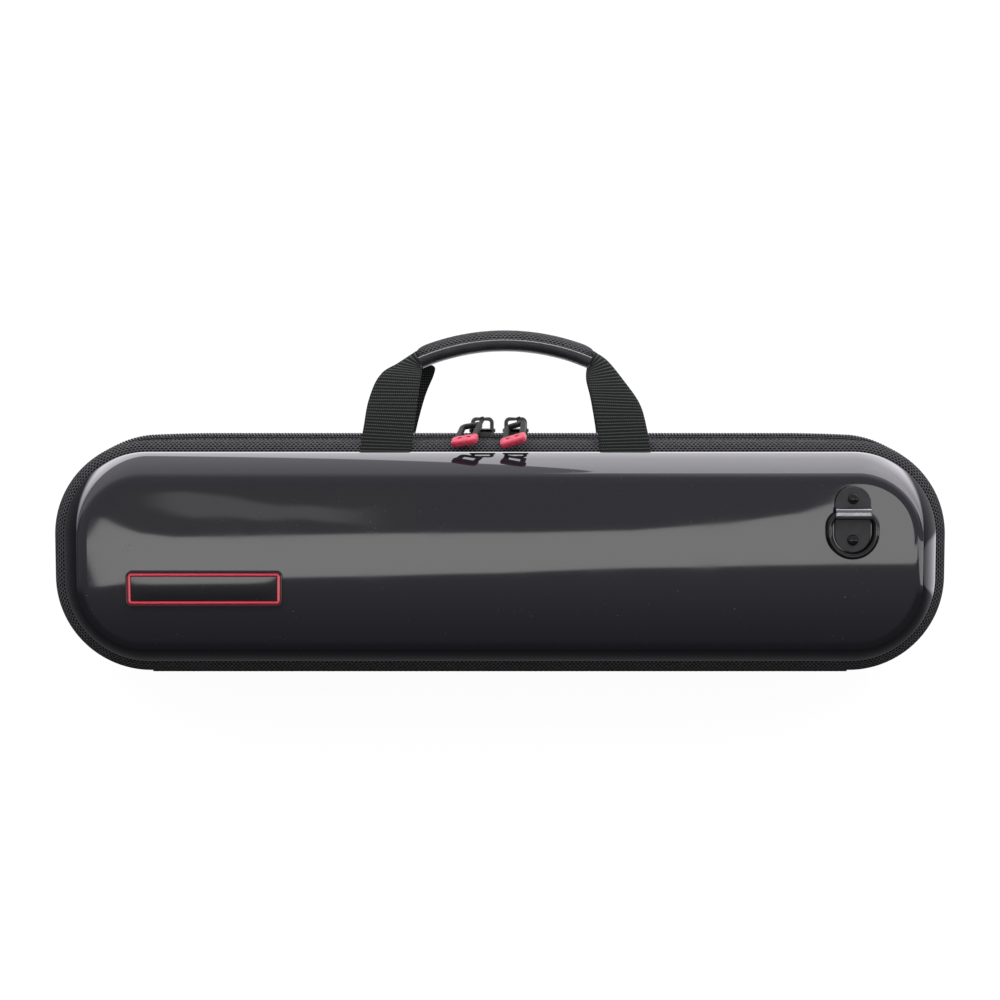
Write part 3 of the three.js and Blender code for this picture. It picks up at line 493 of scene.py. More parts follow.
def skin(points, loops, uv=None, ends=False):
    """A closed patch from a grid of points. loops says which direction closes on itself, ends closes
    the first and last row with a flat face, and uv has one more line where the grid is closed."""
    rows, columns = points.shape[:2]
    if uv is None:
        uv = np.zeros((rows + loops[0], columns + loops[1], 2))
    faces = quads(rows, columns, *loops).tolist()
    corner_uv = uv.reshape(-1, 2)[quads(rows + loops[0], columns + loops[1])].reshape(-1, 2)
    if ends:
        faces += [list(range(columns))[::-1], [(rows - 1) * columns + k for k in range(columns)]]
        corner_uv = np.concatenate([corner_uv, uv[0, :columns][::-1], uv[-1, :columns]])
    return facing_out(points.reshape(-1, 3), faces, corner_uv)


def paced(lengths, section):
    """UV of a section carried along lengths: metres along the run and metres round the section."""
    steps = np.linalg.norm(np.diff(section, axis=0, append=section[:1]), axis=1)
    girth = np.concatenate([[0], np.cumsum(steps)])
    return np.stack(np.meshgrid(lengths, girth, indexing="ij"), -1) / 1000


def rounded(corners, radius, steps=4):
    """A polygon of [offset, depth] corners, each replaced by an arc-like curve that starts and ends a
    radius away from it: corner + radius ((1-t)² towards the last + t² towards the next)."""
    corners = np.asarray(corners, float)
    back, ahead = np.roll(corners, 1, 0) - corners, np.roll(corners, -1, 0) - corners
    limit = np.minimum(np.linalg.norm(back, axis=1), np.linalg.norm(ahead, axis=1))[:, None] * 0.48
    reach = np.minimum(radius, limit)
    back = back / np.linalg.norm(back, axis=1)[:, None] * reach
    ahead = ahead / np.linalg.norm(ahead, axis=1)[:, None] * reach
    t = np.linspace(0, 1, steps + 1)[None, :, None]
    return (corners[:, None] + back[:, None] * (1 - t) ** 2 + ahead[:, None] * t**2).reshape(-1, 2)


def banded(section, lengths, side, sinks=0.0, loop=False):
    """A section of [offset, depth] points carried round the case."""
    points = along(lengths[:, None], section[None, :, 0], side * section[None, :, 1], sinks)
    uv_lengths = np.append(lengths, round_trip) if loop else lengths
    return skin(points, (loop, True), paced(uv_lengths, section), not loop)


def even_run(start, end, pace):
    """Lengths from start to end, about a pace apart, that also hit the ends of every arc."""
    marks = np.unique(np.clip(stops, start, end).round(6))
    spans = [
        np.linspace(first, last, max(2, int((last - first) / pace) + 1), endpoint=False)
        for first, last in zip(marks[:-1], marks[1:])
    ]
    return np.concatenate([*spans, [end]])


def cloth_map(board):
    """Metres along a cloth's run and metres round its section, from the piece's UV map."""
    return board.parts(board.node("UVMap", {"uv_map": "cloth"}))[:2]


def fabric_build(board):
    """Knitted mesh: staggered rows of small oval holes, 2.1 by 1.15 mm apart, between paler threads."""
    u, v = cloth_map(board)
    row = v * (1 / 0.00115)
    shift = row.math("FLOOR").math("MODULO", 2.0) * 0.5
    across = (u * (1 / 0.0021) + shift).math("FRACT") - 0.5
    up = row.math("FRACT") - 0.5
    hole = 1 - (across * across * 1.1 + up * up * 1.2).over(0.07, 0.19)
    fuzz = board.noise(900.0, 2.0)
    threads = board.blend(fuzz, tone(50, 50, 52), tone(94, 94, 97))
    return {
        "Base Color": board.blend(hole, threads, tone(13, 13, 14)),
        "Relief": (1 - hole + fuzz * 0.25, 0.0004),
    }


def plain_weave(pitch, thread, gap, depth):
    """A woven or sewn surface: a chequer of threads of a pitch in metres, each raised in its middle."""
    def build(board):
        u, v = (abs((part * (np.pi / pitch)).math("SINE")) for part in cloth_map(board))
        raised = u * v
        colour = board.blend(raised * (board.noise(1500.0, 1.0) + 0.4), gap, thread)
        return {"Base Color": colour, "Relief": (raised, depth)}
    return build


def stitches(lengths, offset, depth, side, sink, long, thick):
    """A row of stitches: each a six-sided capsule along the run, dipping into the cloth at both ends."""
    turn = np.linspace(0, 2 * np.pi, 6, endpoint=False)
    share = np.linspace(-1, 1, 5)
    width = thick * np.sqrt(1 - 0.75 * share**2)
    start = lengths[:, None, None] + share[None, :, None] * long / 2
    out = offset - 0.6 * thick * share[None, :, None] ** 2 + width[None, :, None] * np.sin(turn)
    back = depth + width[None, :, None] * np.cos(turn)
    points = along(start, out, side * back, sink)
    one = quads(5, 6, False, True)
    caps = [list(range(6))[::-1], list(range(24, 30))]
    faces = (one[None] + 30 * np.arange(len(lengths))[:, None, None]).reshape(-1, 4).tolist()
    faces += [[30 * n + k for k in cap] for n in range(len(lengths)) for cap in caps]
    return facing_out(points.reshape(-1, 3), faces, np.zeros((sum(map(len, faces)), 2)))


matt_cloth = {"Specular IOR Level": 0.12}
mesh_fabric = finish("mesh_fabric", tone(50, 50, 51), 0.85, fabric_build, **matt_cloth)
tape_weave = plain_weave(0.0005, tone(64, 64, 65), tone(20, 20, 21), 0.0001)
tape_cloth = finish("tape_cloth", tone(34, 34, 35), 0.85, tape_weave, **matt_cloth)
thread_finish = finish("sewing_thread", tone(26, 26, 27), 0.6, **matt_cloth)
whole_run = even_run(0, round_trip, 2.6)[:-1]
piping_base, band_edge, zip_sink = -6.05, 5.15, 2.9
for half, side in halves:
    body = f"{half}_half"
    turn = np.linspace(0, np.pi, 25)
    bead = np.stack([piping_base * (1 - np.sin(turn) ** 0.9), 9.9 - 4.5 * np.cos(turn)], 1)
    piping = banded(bead, whole_run, side, loop=True)
    make(f"{half}_piping_cloth", [piping], mesh_fabric, body, f"{half}_piping", "mesh", 50)
    edge = rounded([
        [piping_base, parting], [0.6, parting], [0.6, 3.95], [-1.0, band_edge], [piping_base, band_edge],
    ], 0.9)
    sinks = zip_sink * (edge[:, 0] > -2.5)[None, :]
    band = banded(edge, whole_run, side, sinks, True)
    make(f"{half}_edge_cloth", [band], mesh_fabric, body, f"{half}_edge_band", "mesh", 50)
    seam = stitches(np.arange(1.0, round_trip, 3.2), -1.3, 5.2, side, 0.0, 2.3, 0.22)
    make(f"{half}_groove_stitches", [seam], thread_finish, body, "", "tape")
    fold = rounded([[-6.3, parting], [-6.3, 1.75], [-7.9, 1.75], [-7.9, parting]], 0.35)
    binding = banded(fold, whole_run, side, loop=True)
    make(f"{half}_rim_binding", [binding], tape_cloth, body, f"{half}_binding", "tape")


# Zip: a woven tape on each half with a nylon coil sewn along its free edge, so that the two coils
# mesh. The coil is one filament wound 1.5 mm to the turn. A tab is sewn over each end.
zip_start = half_run + corner_radius * np.radians(30)
zip_end = round_trip - zip_start
zip_run = even_run(zip_start, zip_end, 2.6)
tape_inner, tape_wide, coil_pitch, coil_depth, filament = 0.85, 3.8, 1.5, 0.92, 0.00038


def wound_coil(side, height):
    """A filament round a line at a height over the crest: its middle is at height + 0.42 sin p and at
    the coil's depth + 0.72 cos p (1 - 0.12 sin p), with one turn of p to the pitch. A ring of six
    points is carried along it."""
    run = np.arange(zip_start + 1.0, zip_end - 1.0, coil_pitch / 14)
    phase = 2 * np.pi * (run - zip_start) / coil_pitch + (0 if side < 0 else np.pi)
    back = coil_depth + 0.72 * np.cos(phase) * (1 - 0.12 * np.sin(phase))
    spine = along(run, height + 0.42 * np.sin(phase), side * back, zip_sink)
    ahead = np.gradient(spine, axis=0)
    ahead /= np.linalg.norm(ahead, axis=1)[:, None]
    away = spine - along(run, height, side * coil_depth, zip_sink)
    away -= (away * ahead).sum(1)[:, None] * ahead
    away /= np.linalg.norm(away, axis=1)[:, None]
    ring = np.linspace(0, 2 * np.pi, 6, endpoint=False)[None, :, None]
    round_it = away[:, None] * np.cos(ring) + np.cross(ahead, away)[:, None] * np.sin(ring)
    return skin(spine[:, None] + filament * round_it, (False, True), None, True)


coil_nylon = finish("coil_nylon", tone(40, 40, 42), 0.3)
coil_heights = {"front": 2.36, "rear": 2.1}
for half, side in halves:
    body = f"{half}_half"
    strip = rounded([
        [tape_inner, parting], [1.35, parting], [1.35, tape_wide], [tape_inner, tape_wide],
    ], 0.12, 2)
    tape = banded(strip, zip_run, side, zip_sink)
    make(f"{half}_zip_tape_cloth", [tape], tape_cloth, body, f"{half}_zip_tape", "tape")
    hem = stitches(np.arange(zip_start + 2, zip_end - 2, 2.2), 1.36, 3.1, side, zip_sink, 1.5, 0.13)
    make(f"{half}_zip_tape_stitches", [hem], thread_finish, body, "", "tape")
    coil = wound_coil(side, coil_heights[half])
    make(f"{half}_zip_coil_wound", [coil], coil_nylon, body, f"{half}_zip_coil", "coil", 80)
for end, name in ((1, "right"), (-1, "left")):
    first = zip_start - 0.25 if end > 0 else zip_end + 0.25
    tab_run = np.linspace(first, first - end * corner_radius * np.radians(5), 6)
    tab = rounded([
        [tape_inner, parting], [3.1, parting], [3.1, 1.9], [1.35, tape_wide], [tape_inner, tape_wide],
    ], 0.4)
    sewn = banded(tab, tab_run, 1, zip_sink)
    make(f"zip_tab_{name}", [sewn], tape_cloth, "rear_half", f"zip_stop_{name}", "tape")
for half, side in halves:
    body = f"{half}_half"
    strip = rounded([[tape_inner, parting], [1.75, parting], [1.75, 4.0], [tape_inner, 4.0]], 0.25)
    cloth = banded(strip, np.linspace(-half_run, half_run, 40), side)
    make(f"spine_cloth_{half}", [cloth], tape_cloth, body, f"spine_strip_{half}", "tape")
    seam = stitches(np.arange(-half_run + 2, half_run - 2, 2.6), 1.76, 3.2, side, 0.0, 1.8, 0.15)
    make(f"spine_stitches_{half}", [seam], thread_finish, body, "", "tape")


# Handle straps: ribbed nylon webbing 25 mm wide, one on each half. It comes up between the piping and
# the shell, leans in, and is pinched where it goes through the grip to the other leg.
handle_middle, webbing_wide, webbing_thick, pinched_thick = 2.5, 25.0, 1.5, 2.9
grip_half, grip_radius, grip_centre = 42.6, 108.6, 55.3
grip_turn = np.arcsin(grip_half / grip_radius)


def through(knots, t):
    """A smooth curve through knots: between two of them the cubic that has, at each knot, the mean
    slope of the spans on both sides."""
    knots = np.asarray(knots, float)
    slopes = np.gradient(knots, axis=0)
    place = np.clip(t, 0, 1) * (len(knots) - 1)
    k = np.minimum(place.astype(int), len(knots) - 2)
    s = (place - k)[:, None]
    step = knots[k] + (knots[k + 1] - knots[k]) * (3 * s**2 - 2 * s**3)
    return step + slopes[k] * s * (1 - s) ** 2 - slopes[k + 1] * s**2 * (1 - s)


def webbing_build(board):
    """Ribbed webbing: rows across the strap, 1.6 mm apart, each a line of raised floats 1.1 mm apart."""
    u, v = cloth_map(board)
    row = v * (1 / 0.0016)
    rib = 1 - abs((row.math("FRACT") - 0.5) * 2)
    shift = row.math("FLOOR").math("MODULO", 2.0) * 0.5
    float_share = ((u * (1 / 0.0011) + shift) * (2 * np.pi)).math("SINE") * 0.5 + 0.5
    raised = rib.over(0.45, 1.0) * (float_share.over(0.2, 0.8) * 0.8 + 0.2)
    worn = raised * (board.noise(800.0, 2.0) * 0.6 + 0.7)
    return {
        "Base Color": board.blend(worn, tone(29, 30, 30), tone(86, 89, 87)),
        "Relief": (raised * 0.7 + rib * 0.3, 0.00007),
    }


webbing = finish("ribbed_webbing", tone(40, 42, 41), 0.8, webbing_build, **matt_cloth)
leg_foot, inner_foot = [72.2, 107.4], [47.0, 107.4]
leg_outer = {
    1: [leg_foot, [69.9, 121.5], [66.4, 133.5], [58.8, 144.5], [51.3, 153.6], [44.4, 158.6]],
    -1: [leg_foot, [69.8, 122.0], [67.3, 135.3], [62.2, 146.8], [53.4, 152.6], [44.4, 158.6]],
}
right_inner = [inner_foot, [45.4, 120.5], [42.9, 134.5], [40.7, 143.5], [40.7, 149.3], [41.6, 152.0]]
leg_inner = {
    ("front", 1): right_inner,
    ("front", -1): [inner_foot, [45.0, 120.5], [43.1, 135.1], [41.7, 145.5], [41.1, 150.2], [41.6, 152.0]],
    ("rear", 1): right_inner,
    ("rear", -1): [inner_foot, [44.0, 121.5], [39.9, 136.0], [35.6, 146.5], [35.4, 150.8], [41.0, 152.6]],
}


def strap(half, side):
    """Rows from the right leg's foot, through the grip, to the left leg's. A row goes over the front from
    the outer to the inner edge and comes back behind. Both faces close at the edges by the root of
    1 - w¹⁶, where w runs from -1 to 1 across, and the pinch lifts the middle by 1 - w²."""
    t = np.linspace(0, 1, 44)
    share = 0.5 - 0.5 * np.cos(np.linspace(0, np.pi, 27))
    w = 2 * share - 1
    legs = {}
    for end in (1, -1):
        outer, inner = through(leg_outer[end], t), through(leg_inner[half, end], t)
        flat = outer[:, None] + (inner - outer)[:, None] * share[None, :, None]
        pinch = t[:, None] ** 3
        lift = 3.4 * pinch * (1 - w**2) + 0.55 * t[:, None] ** 4 * np.sin(7.5 * share + 0.8)
        back = 14.65 - 14.4 * t[:, None] ** 1.7 + 0.35 * lift
        legs[end] = np.stack([end * flat[..., 0], flat[..., 1], back + lift * 0.5], -1)
    turn = np.linspace(grip_turn, -grip_turn, 15)[:, None] * 0.97
    turn, reach = np.broadcast_arrays(turn, grip_radius + 3.1 * (1 - 2 * share[None]))
    level = np.full(reach.shape, 0.3)
    middle = np.stack([reach * np.sin(turn), grip_centre + reach * np.cos(turn), level], -1)
    rows = np.concatenate([legs[1], middle, legs[-1][::-1]])
    leg_thick = webbing_thick + (pinched_thick - webbing_thick) * t**4
    thick = np.concatenate([leg_thick, np.full(15, pinched_thick), leg_thick[::-1]])
    swell = 0.5 * thick[:, None] * np.sqrt(1 - np.abs(w) ** 16)
    depth = rows[..., 2] + 0.5 * thick[:, None]
    front = laid(handle_middle + rows[..., 0], side * (depth + swell), rows[..., 1])
    rear = laid(handle_middle + rows[..., 0], side * (depth - swell), rows[..., 1])
    points = np.concatenate([front, rear[:, -2:0:-1]], 1)
    spine = rows[:, 13]
    travel = np.concatenate([[0], np.cumsum(np.linalg.norm(np.diff(spine, axis=0), axis=1))])
    girth = webbing_wide * np.concatenate([share, share[-2:0:-1], [0]])
    uv = np.stack(np.meshgrid(travel, girth, indexing="ij"), -1)[..., ::-1] / 1000
    return skin(points, (False, True), uv, True)


for half, side in halves:
    legs = strap(half, side)
    make(f"{half}_handle_webbing", [legs], webbing, f"{half}_half", f"handle_strap_{half}", "webbing", 60)


# Grip: a foam pad under mesh fabric over the straps' fold, and a strip of leathercloth wrapped round
# its underside, whose cut edge shows as a pale line. It is in two halves, one sewn to each strap.
grip_height, grip_reach, grip_power = 5.1, 9.5, 2.4
fold_half, fold_depth, grip_end = 3.45, 3.55, 6.0


def grip_curve(start, end, count, proud=0.0):
    """[height, reach] points of the grip's squared ellipse between two angles in degrees."""
    turn = np.radians(np.linspace(start, end, count))
    up, out = np.sin(turn), np.maximum(np.cos(turn), 0)
    return np.stack([
        (grip_height + proud) * np.sign(up) * np.abs(up) ** (2 / grip_power),
        parting + (grip_reach + proud - parting) * out ** (2 / grip_power),
    ], 1)


def gripped(side, section, ends):
    """A section of [height, reach] points for each station along the grip's arc; ends is how far each
    station's points are drawn in towards the straps' fold."""
    turn = np.linspace(-grip_turn, grip_turn, len(ends))[:, None]
    height, depth = section.T
    core = np.stack([np.clip(height, -fold_half, fold_half), np.clip(depth, parting, fold_depth)], 1)
    drawn = core[None] + (section - core)[None] * ends[:, None, None]
    reach = grip_radius + drawn[..., 0]
    z = grip_centre + reach * np.cos(turn)
    points = laid(handle_middle + reach * np.sin(turn), side * drawn[..., 1], z)
    return skin(points, (False, True), paced(turn[:, 0] * grip_radius, section), True)


def leathercloth_build(board):
    """Fine pebbled grain, a little worn."""
    cells = {"Vector": board.place(), "Scale": 1300.0, "Smoothness": 0.6}
    wear = board.noise(90.0, 3.0).over(0.4, 0.75)
    return {
        "Base Color": board.blend(wear, tone(42, 41, 44), tone(58, 57, 61)),
        "Roughness": wear * 0.12 + 0.42,
        "Relief": (board.node("TexVoronoi", {"feature": "SMOOTH_F1"}, cells), 0.00009),
    }


leathercloth = finish("leathercloth", tone(50, 50, 54), 0.45, leathercloth_build)
edge_weave = plain_weave(0.0004, tone(176, 175, 176), tone(120, 120, 121), 0.00005)
cut_edge = finish("leathercloth_edge", tone(96, 95, 96), 0.6, edge_weave)
past_puff = np.clip(np.abs(np.linspace(-1, 1, 61)) * grip_half - grip_half + grip_end, 0, grip_end)
puffed = np.sqrt(np.clip(1 - (past_puff / grip_end) ** 2, 0.03, 1))
whole = np.ones(61)
pad = np.concatenate([
    grip_curve(90, 8, 22),
    [[0.75, 8.6], [0.75, fold_depth], [fold_half, fold_depth], [fold_half, parting]],
])
wrap = np.concatenate([
    [[0.45, 8.9]], grip_curve(4, -90, 22, 0.25),
    [[-fold_half, parting], [-fold_half, fold_depth], [0.45, fold_depth]],
])
lip = rounded([[0.35, 9.0], [0.35, 9.95], [0.95, 9.95], [0.95, 9.0]], 0.3, 3)
for half, side in halves:
    body = f"{half}_half"
    foam = gripped(side, pad, puffed)
    make(f"{half}_grip_cloth", [foam], mesh_fabric, body, f"grip_pad_{half}", "mesh", 50)
    strip = gripped(side, wrap, whole)
    make(f"{half}_grip_strip", [strip], leathercloth, body, f"grip_strip_{half}", "leathercloth", 50)
    cut = gripped(side, lip, whole)
    make(f"{half}_grip_strip_edge", [cut], cut_edge, body, "", "leathercloth", 50)


# Zip sliders: black die-cast bodies that ride the coils, each with a flat arch standing over it for
# the pull. The corners are tumbled round.
case_top, coil_top = 115.0, 3.1
slider_base = case_top + coil_top + 0.25
arch_bar_height, arch_corner = 124.9, 1.85
plate_half, cheek_half = (6.5, 2.8, 0.85), (5.9, 1.7, 0.3)


def ring_of(half_u, half_v, radius, steps=4):
    """The outline of an oblong with round corners, as [u, v] points."""
    turn = np.radians(np.arange(4)[:, None] * 90 + np.linspace(0, 90, steps + 1)[None])
    corner_u = np.array([1, -1, -1, 1])[:, None] * (half_u - radius)
    corner_v = np.array([1, 1, -1, -1])[:, None] * (half_v - radius)
    return np.stack([corner_u + radius * np.cos(turn), corner_v + radius * np.sin(turn)], -1).reshape(-1, 2)


def block(half_u, half_v, half_w, radius, bevel, axes):
    """A block whose u, v and w lie along the named axes: an oblong ring at each height of w, drawn in
    by the bevel at both ends in two steps."""
    draw = np.array([1.0, 0.3, 0.0, 0.0, 0.3, 1.0]) * bevel
    height = np.array([-1, -1, -1, 1, 1, 1]) * (half_w - np.array([0.0, 0.3, 1.0, 1.0, 0.3, 0.0]) * bevel)
    rings = np.stack([ring_of(half_u - d, half_v - d, max(radius - d, 0.15)) for d in draw])
    full = np.concatenate([rings, np.broadcast_to(height[:, None, None], rings.shape[:2] + (1,))], -1)
    return full[..., ["uvw".index(axis) for axis in axes]]


def placed(points, loops=(False, True), ends=True):
    """A closed patch from [x, depth, z] points on the standing case."""
    return skin(laid(points[..., 0], points[..., 1], points[..., 2]), loops, None, ends)


def endless(points):
    """A closed patch from a bar whose end runs into its start."""
    return placed(points, (True, True), False)


def swept(path, side, section, closed=False):
    """A section of [a, b] points carried along a path of places: b lies along the side direction, and
    a across both it and the path."""
    ahead = np.roll(path, -1, 0) - np.roll(path, 1, 0) if closed else np.gradient(path, axis=0)
    across = np.cross(ahead, side)
    across /= np.linalg.norm(across, axis=1)[:, None]
    beside = section[None, :, 1:] * np.asarray(side, float)
    return path[:, None] + section[None, :, :1] * across[:, None] + beside


def arc(centre, radius, start, end, count):
    """[u, v] points of an arc between two angles in degrees."""
    turn = np.radians(np.linspace(start, end, count))
    return np.stack([centre[0] + radius * np.cos(turn), centre[1] + radius * np.sin(turn)], 1)


def lacquer(name, plain, rubbed):
    """Satin lacquer over a die casting, rubbed paler in patches."""
    def build(board):
        rub = board.noise(420.0, 3.0).over(0.45, 0.8)
        colour = board.blend(rub, plain, rubbed)
        return {"Base Color": colour, "Roughness": rub * 0.15 + 0.5, "Relief": (rub, 0.00003)}
    return finish(name, plain, 0.55, build, **{"Specular IOR Level": 0.08})


slider_paint = lacquer("slider_lacquer", tone(62, 63, 61), tone(86, 87, 85))
slider_places = {"left": -8.8, "right": 7.8}
bend = np.concatenate([
    [[-4.75, 0.0], [-4.75, 2.2]], arc((-2.9, 3.75), arch_corner, 180, 90, 9), [[0.0, 5.6]],
    arc((2.9, 3.75), arch_corner, 90, 0, 9), [[4.75, 2.2], [4.75, 0.0]],
])
heft = 1 + 0.3 * np.clip(np.abs(bend[:, 0]) / 1.5 - 1.2, 0, 1)[:, None, None]
for name, place in slider_places.items():
    plate = block(*plate_half, 1.6, 0.35, "uvw") + [place, 0, slider_base + plate_half[2]]
    cheek = block(*cheek_half, 0.6, 0.12, "uwv") + [place, -2.5, slider_base - 0.05]
    path = np.stack([place + bend[:, 0], np.zeros(len(bend)), slider_base + 0.95 + bend[:, 1]], 1)
    arch = path[:, None] + (swept(path, (0, 1, 0), ring_of(0.72, 0.8, 0.35)) - path[:, None]) * heft
    patches = [placed(plate), placed(cheek), placed(arch)]
    make(f"{name}_slider", patches, slider_paint, f"slider_{name}", f"zip_slider_{name}", "hardware")


# Zip pulls: a heavy cast frame hung from the arch by a small eye, with a block of coral rubber
# moulded over its far end. Two pips moulded into the block's upper face are drawn as thin dark crimson
# patches, painted shade.
def rubber_build(board):
    """Soft matt rubber, a little darker in its low places."""
    bloom = board.noise(500.0, 2.0).over(0.3, 0.7)
    colour = board.blend(bloom, tone(178, 42, 66), tone(196, 60, 86))
    return {"Base Color": colour, "Relief": (bloom, 0.00004)}


def hung(points, turn, hinge):
    """Turns a flat pull's points about its eye and carries them to the arch's bar."""
    return points @ np.array(turn).T + hinge


pull_paint = lacquer("pull_lacquer", tone(34, 35, 32), tone(52, 54, 50))
rubber = finish("coral_rubber", tone(232, 80, 100), 0.5, rubber_build)
# The pips' dark crimson is painted shade in their hollows, not a second rubber.
pip_painted_shade = finish("pip_shade", tone(110, 6, 32), 0.7, **matt_cloth)
pull_dip, pull_level, frame_middle, tip_centre = np.radians(22.0), 0.2, -13.05, -22.45
frame_half, tip_half, pip_half = (4.45, 7.3), (6.6, 3.65, 1.65), (1.0, 0.6, 0.06)
pull_poses = {"left": (0.0, -4.5, 11.0, 15.0), "right": (1.7, -1.6, 4.0, 20.0)}
for name, (eye_shift, frame_shift, twist, roll) in pull_poses.items():
    body = f"pull_{name}"
    turn = (
        Matrix.Rotation(pull_dip - np.pi / 2, 3, "X")
        @ Matrix.Rotation(np.radians(twist), 3, "Y")
        @ Matrix.Rotation(-np.radians(roll), 3, "Z")
    )
    hinge = np.array([slider_places[name] + eye_shift, 0.0, arch_bar_height])
    oblong = ring_of(*frame_half, 1.5, 5)
    frame_path = np.stack([
        frame_shift + oblong[:, 0], np.full(len(oblong), pull_level), oblong[:, 1] + frame_middle,
    ], 1)
    bar = swept(frame_path, (0, 1, 0), ring_of(1.35, 1.15, 0.5, 3), True)
    eye_path = np.stack([np.zeros(16), *arc((0, 0), 1.02, 0, 337.5, 16).T], 1)
    eye = swept(eye_path, (1, 0, 0), ring_of(0.18, 0.8, 0.16, 2), True)
    neck = hung(block(0.9, 2.2, 0.7, 0.4, 0.2, "uwv") + [0, pull_level, -3.3], turn, hinge)
    patches = [endless(hung(bar, turn, hinge)), endless(hung(eye, turn, hinge)), placed(neck)]
    make(f"{name}_pull_frame", patches, pull_paint, body, f"pull_frame_{name}", "hardware")
    tip_middle = np.array([frame_shift, pull_level, tip_centre])
    tip = placed(hung(block(*tip_half, 1.9, 0.95, "uwv") + tip_middle, turn, hinge))
    make(f"{name}_pull_rubber", [tip], rubber, body, f"pull_tip_{name}", "rubber", 22)
    pip = block(*pip_half, 0.45, 0.02, "uwv") + tip_middle
    pips = [placed(hung(pip + [shift, -1.66, 0.4], turn, hinge)) for shift in (-2.3, 2.3)]
    make(f"{name}_pull_pips", pips, pip_painted_shade, body, "", "rubber")


# Strap ring: a black plated D of round wire, held by a pressed plate whose middle is rolled over the
# ring's bar. Two domed rivets go through plate, shell and the backing plate inside.
plate_x, plate_z, keeper_z, ring_depth, wire = 171.0, 79.2, 82.0, 42.25, 1.55
plate_top, plate_seat, outer_roll, inner_roll = 41.45, 40.25, 3.1, 1.85


def hardware_build(board):
    """Black plating: faint mottle in its colour, its gloss and its surface."""
    mottle = board.noise(260.0, 3.0).over(0.35, 0.75)
    colour = board.blend(mottle, tone(8, 8, 9), tone(18, 18, 19))
    return {"Base Color": colour, "Roughness": mottle * 0.08 + 0.1, "Relief": (mottle, 0.00002)}


def enamel_build(board):
    """Black stoving enamel: satin on the plate's flats, polished where the plate is rolled out."""
    _, _, out = board.parts(board.place())
    mottle = board.noise(300.0, 3.0).over(0.35, 0.75)
    rolled = out.over(0.0819, 0.0824)
    satin = board.blend(mottle, tone(34, 34, 36), tone(46, 46, 48))
    return {
        "Base Color": board.blend(rolled, satin, tone(112, 112, 115)),
        "Metallic": rolled * 0.9,
        "Roughness": (1 - rolled) * 0.3 + mottle * 0.05 + 0.15,
    }


def pressed(z, reach):
    """How far the plate is rolled out over the bar at a height: a flattened half circle of a given reach."""
    return 3.85 * np.clip(1 - np.abs((z - keeper_z) / reach) ** 4, 0, 1) ** 0.5


hardware = finish("black_plating", tone(12, 12, 13), 0.14, hardware_build, IOR=1.45)
enamel = finish("black_enamel", tone(26, 26, 28), 0.4, enamel_build)
plate_oblong = Oblong(8.7, 16.2, 8.68, (plate_x, plate_z), 1, 74, 14)
front_x, front_z = plate_oblong.face(-0.35)
back_x, back_z = plate_oblong.face(-0.1)
edge_x, edge_z = plate_oblong.rings([-0.12, 0.0, 0.0, -0.02])
edge_depth = np.stack([
    plate_top - 0.06 + pressed(edge_z[0], outer_roll), plate_top - 0.35 + pressed(edge_z[1], outer_roll),
    plate_seat + 0.2 + pressed(edge_z[2], inner_roll), plate_seat + pressed(edge_z[3], inner_roll),
])
plate = plate_oblong.solid(
    laid(front_x, -plate_top - pressed(front_z, outer_roll), front_z),
    laid(edge_x, -edge_depth, edge_z),
    laid(back_x, -plate_seat - pressed(back_z, inner_roll), back_z),
)
make("ring_plate_pressed", [plate], enamel, "front_half", "ring_plate", "hardware", 40)
bow = np.concatenate([
    arc((4.8, keeper_z - 6.5), 6.5, 0, 90, 16), arc((-4.8, keeper_z - 6.5), 6.5, 90, 180, 16),
    arc((0.0, keeper_z - 9.5), 11.3, 180, 360, 48),
])
ring_path = np.stack([plate_x + bow[:, 0], np.full(len(bow), -ring_depth), bow[:, 1]], 1)
ring = endless(swept(ring_path, (0, 1, 0), arc((0, 0), wire, 0, 337.5, 16), True))
make("ring_wire", [ring], hardware, "strap_ring", "strap_ring", "hardware")


def turned(profile, x, z, count=28):
    """A lathe-turned form from [radius, depth] points, its axis along the depth at x and z."""
    turn = np.linspace(0, 2 * np.pi, count, endpoint=False)
    radius, depth = profile[:, :1], np.broadcast_to(profile[:, 1:], (len(profile), count))
    return np.stack([x + radius * np.cos(turn), depth, z + radius * np.sin(turn)], -1)


dome = arc((0, 0), 1.0, 90, 0, 8)
rivet_profile = np.concatenate([
    np.stack([0.04 + 2.66 * dome[:, 0], -(41.6 + 1.35 * dome[:, 1])], 1),
    [[2.7, -41.5], [1.5, -41.45], [1.5, -36.6], [2.1, -36.5], [1.9, -36.0]],
])
for name, shift in (("upper", 10.1), ("lower", -10.1)):
    rivet = placed(turned(rivet_profile, plate_x, plate_z + shift))
    make(f"{name}_rivet", [rivet], hardware, "front_half", f"ring_rivet_{name}", "hardware", 50)
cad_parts["ring_backing"].data.materials.clear()
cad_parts["ring_backing"].data.materials.append(hardware)


# Name plate: a black frame with a crimson line inlaid along it and a plain black field, all under a
# clear resin dome. It is stuck on the face.
badge_x, badge_z, badge_foot, field_top = -143.9, 45.2, 40.2, 41.3
badge_oblong = Oblong(38.1, 8.65, 2.9, (badge_x, badge_z), 60, 10, 6)


def badge_frame(name, start, end, height, paint, node, slot):
    """A frame between two offsets of the badge's outline, with a rounded top."""
    section = rounded([[start, badge_foot], [start, height], [end, height], [end, badge_foot]], 0.35)
    x, z = badge_oblong.rings(section[:, 0])
    make(name, [skin(laid(x, -section[:, 1:], z), (True, True))], paint, "front_half", node, slot, 40)


def badge_build(low, high):
    """Printed colour under clear resin, with a little dust on it."""
    def build(board):
        dust = board.noise(1500.0, 0.0).over(0.82, 0.87)
        return {"Base Color": board.blend(dust, low, high), "Roughness": dust * 0.3 + 0.06}
    return build


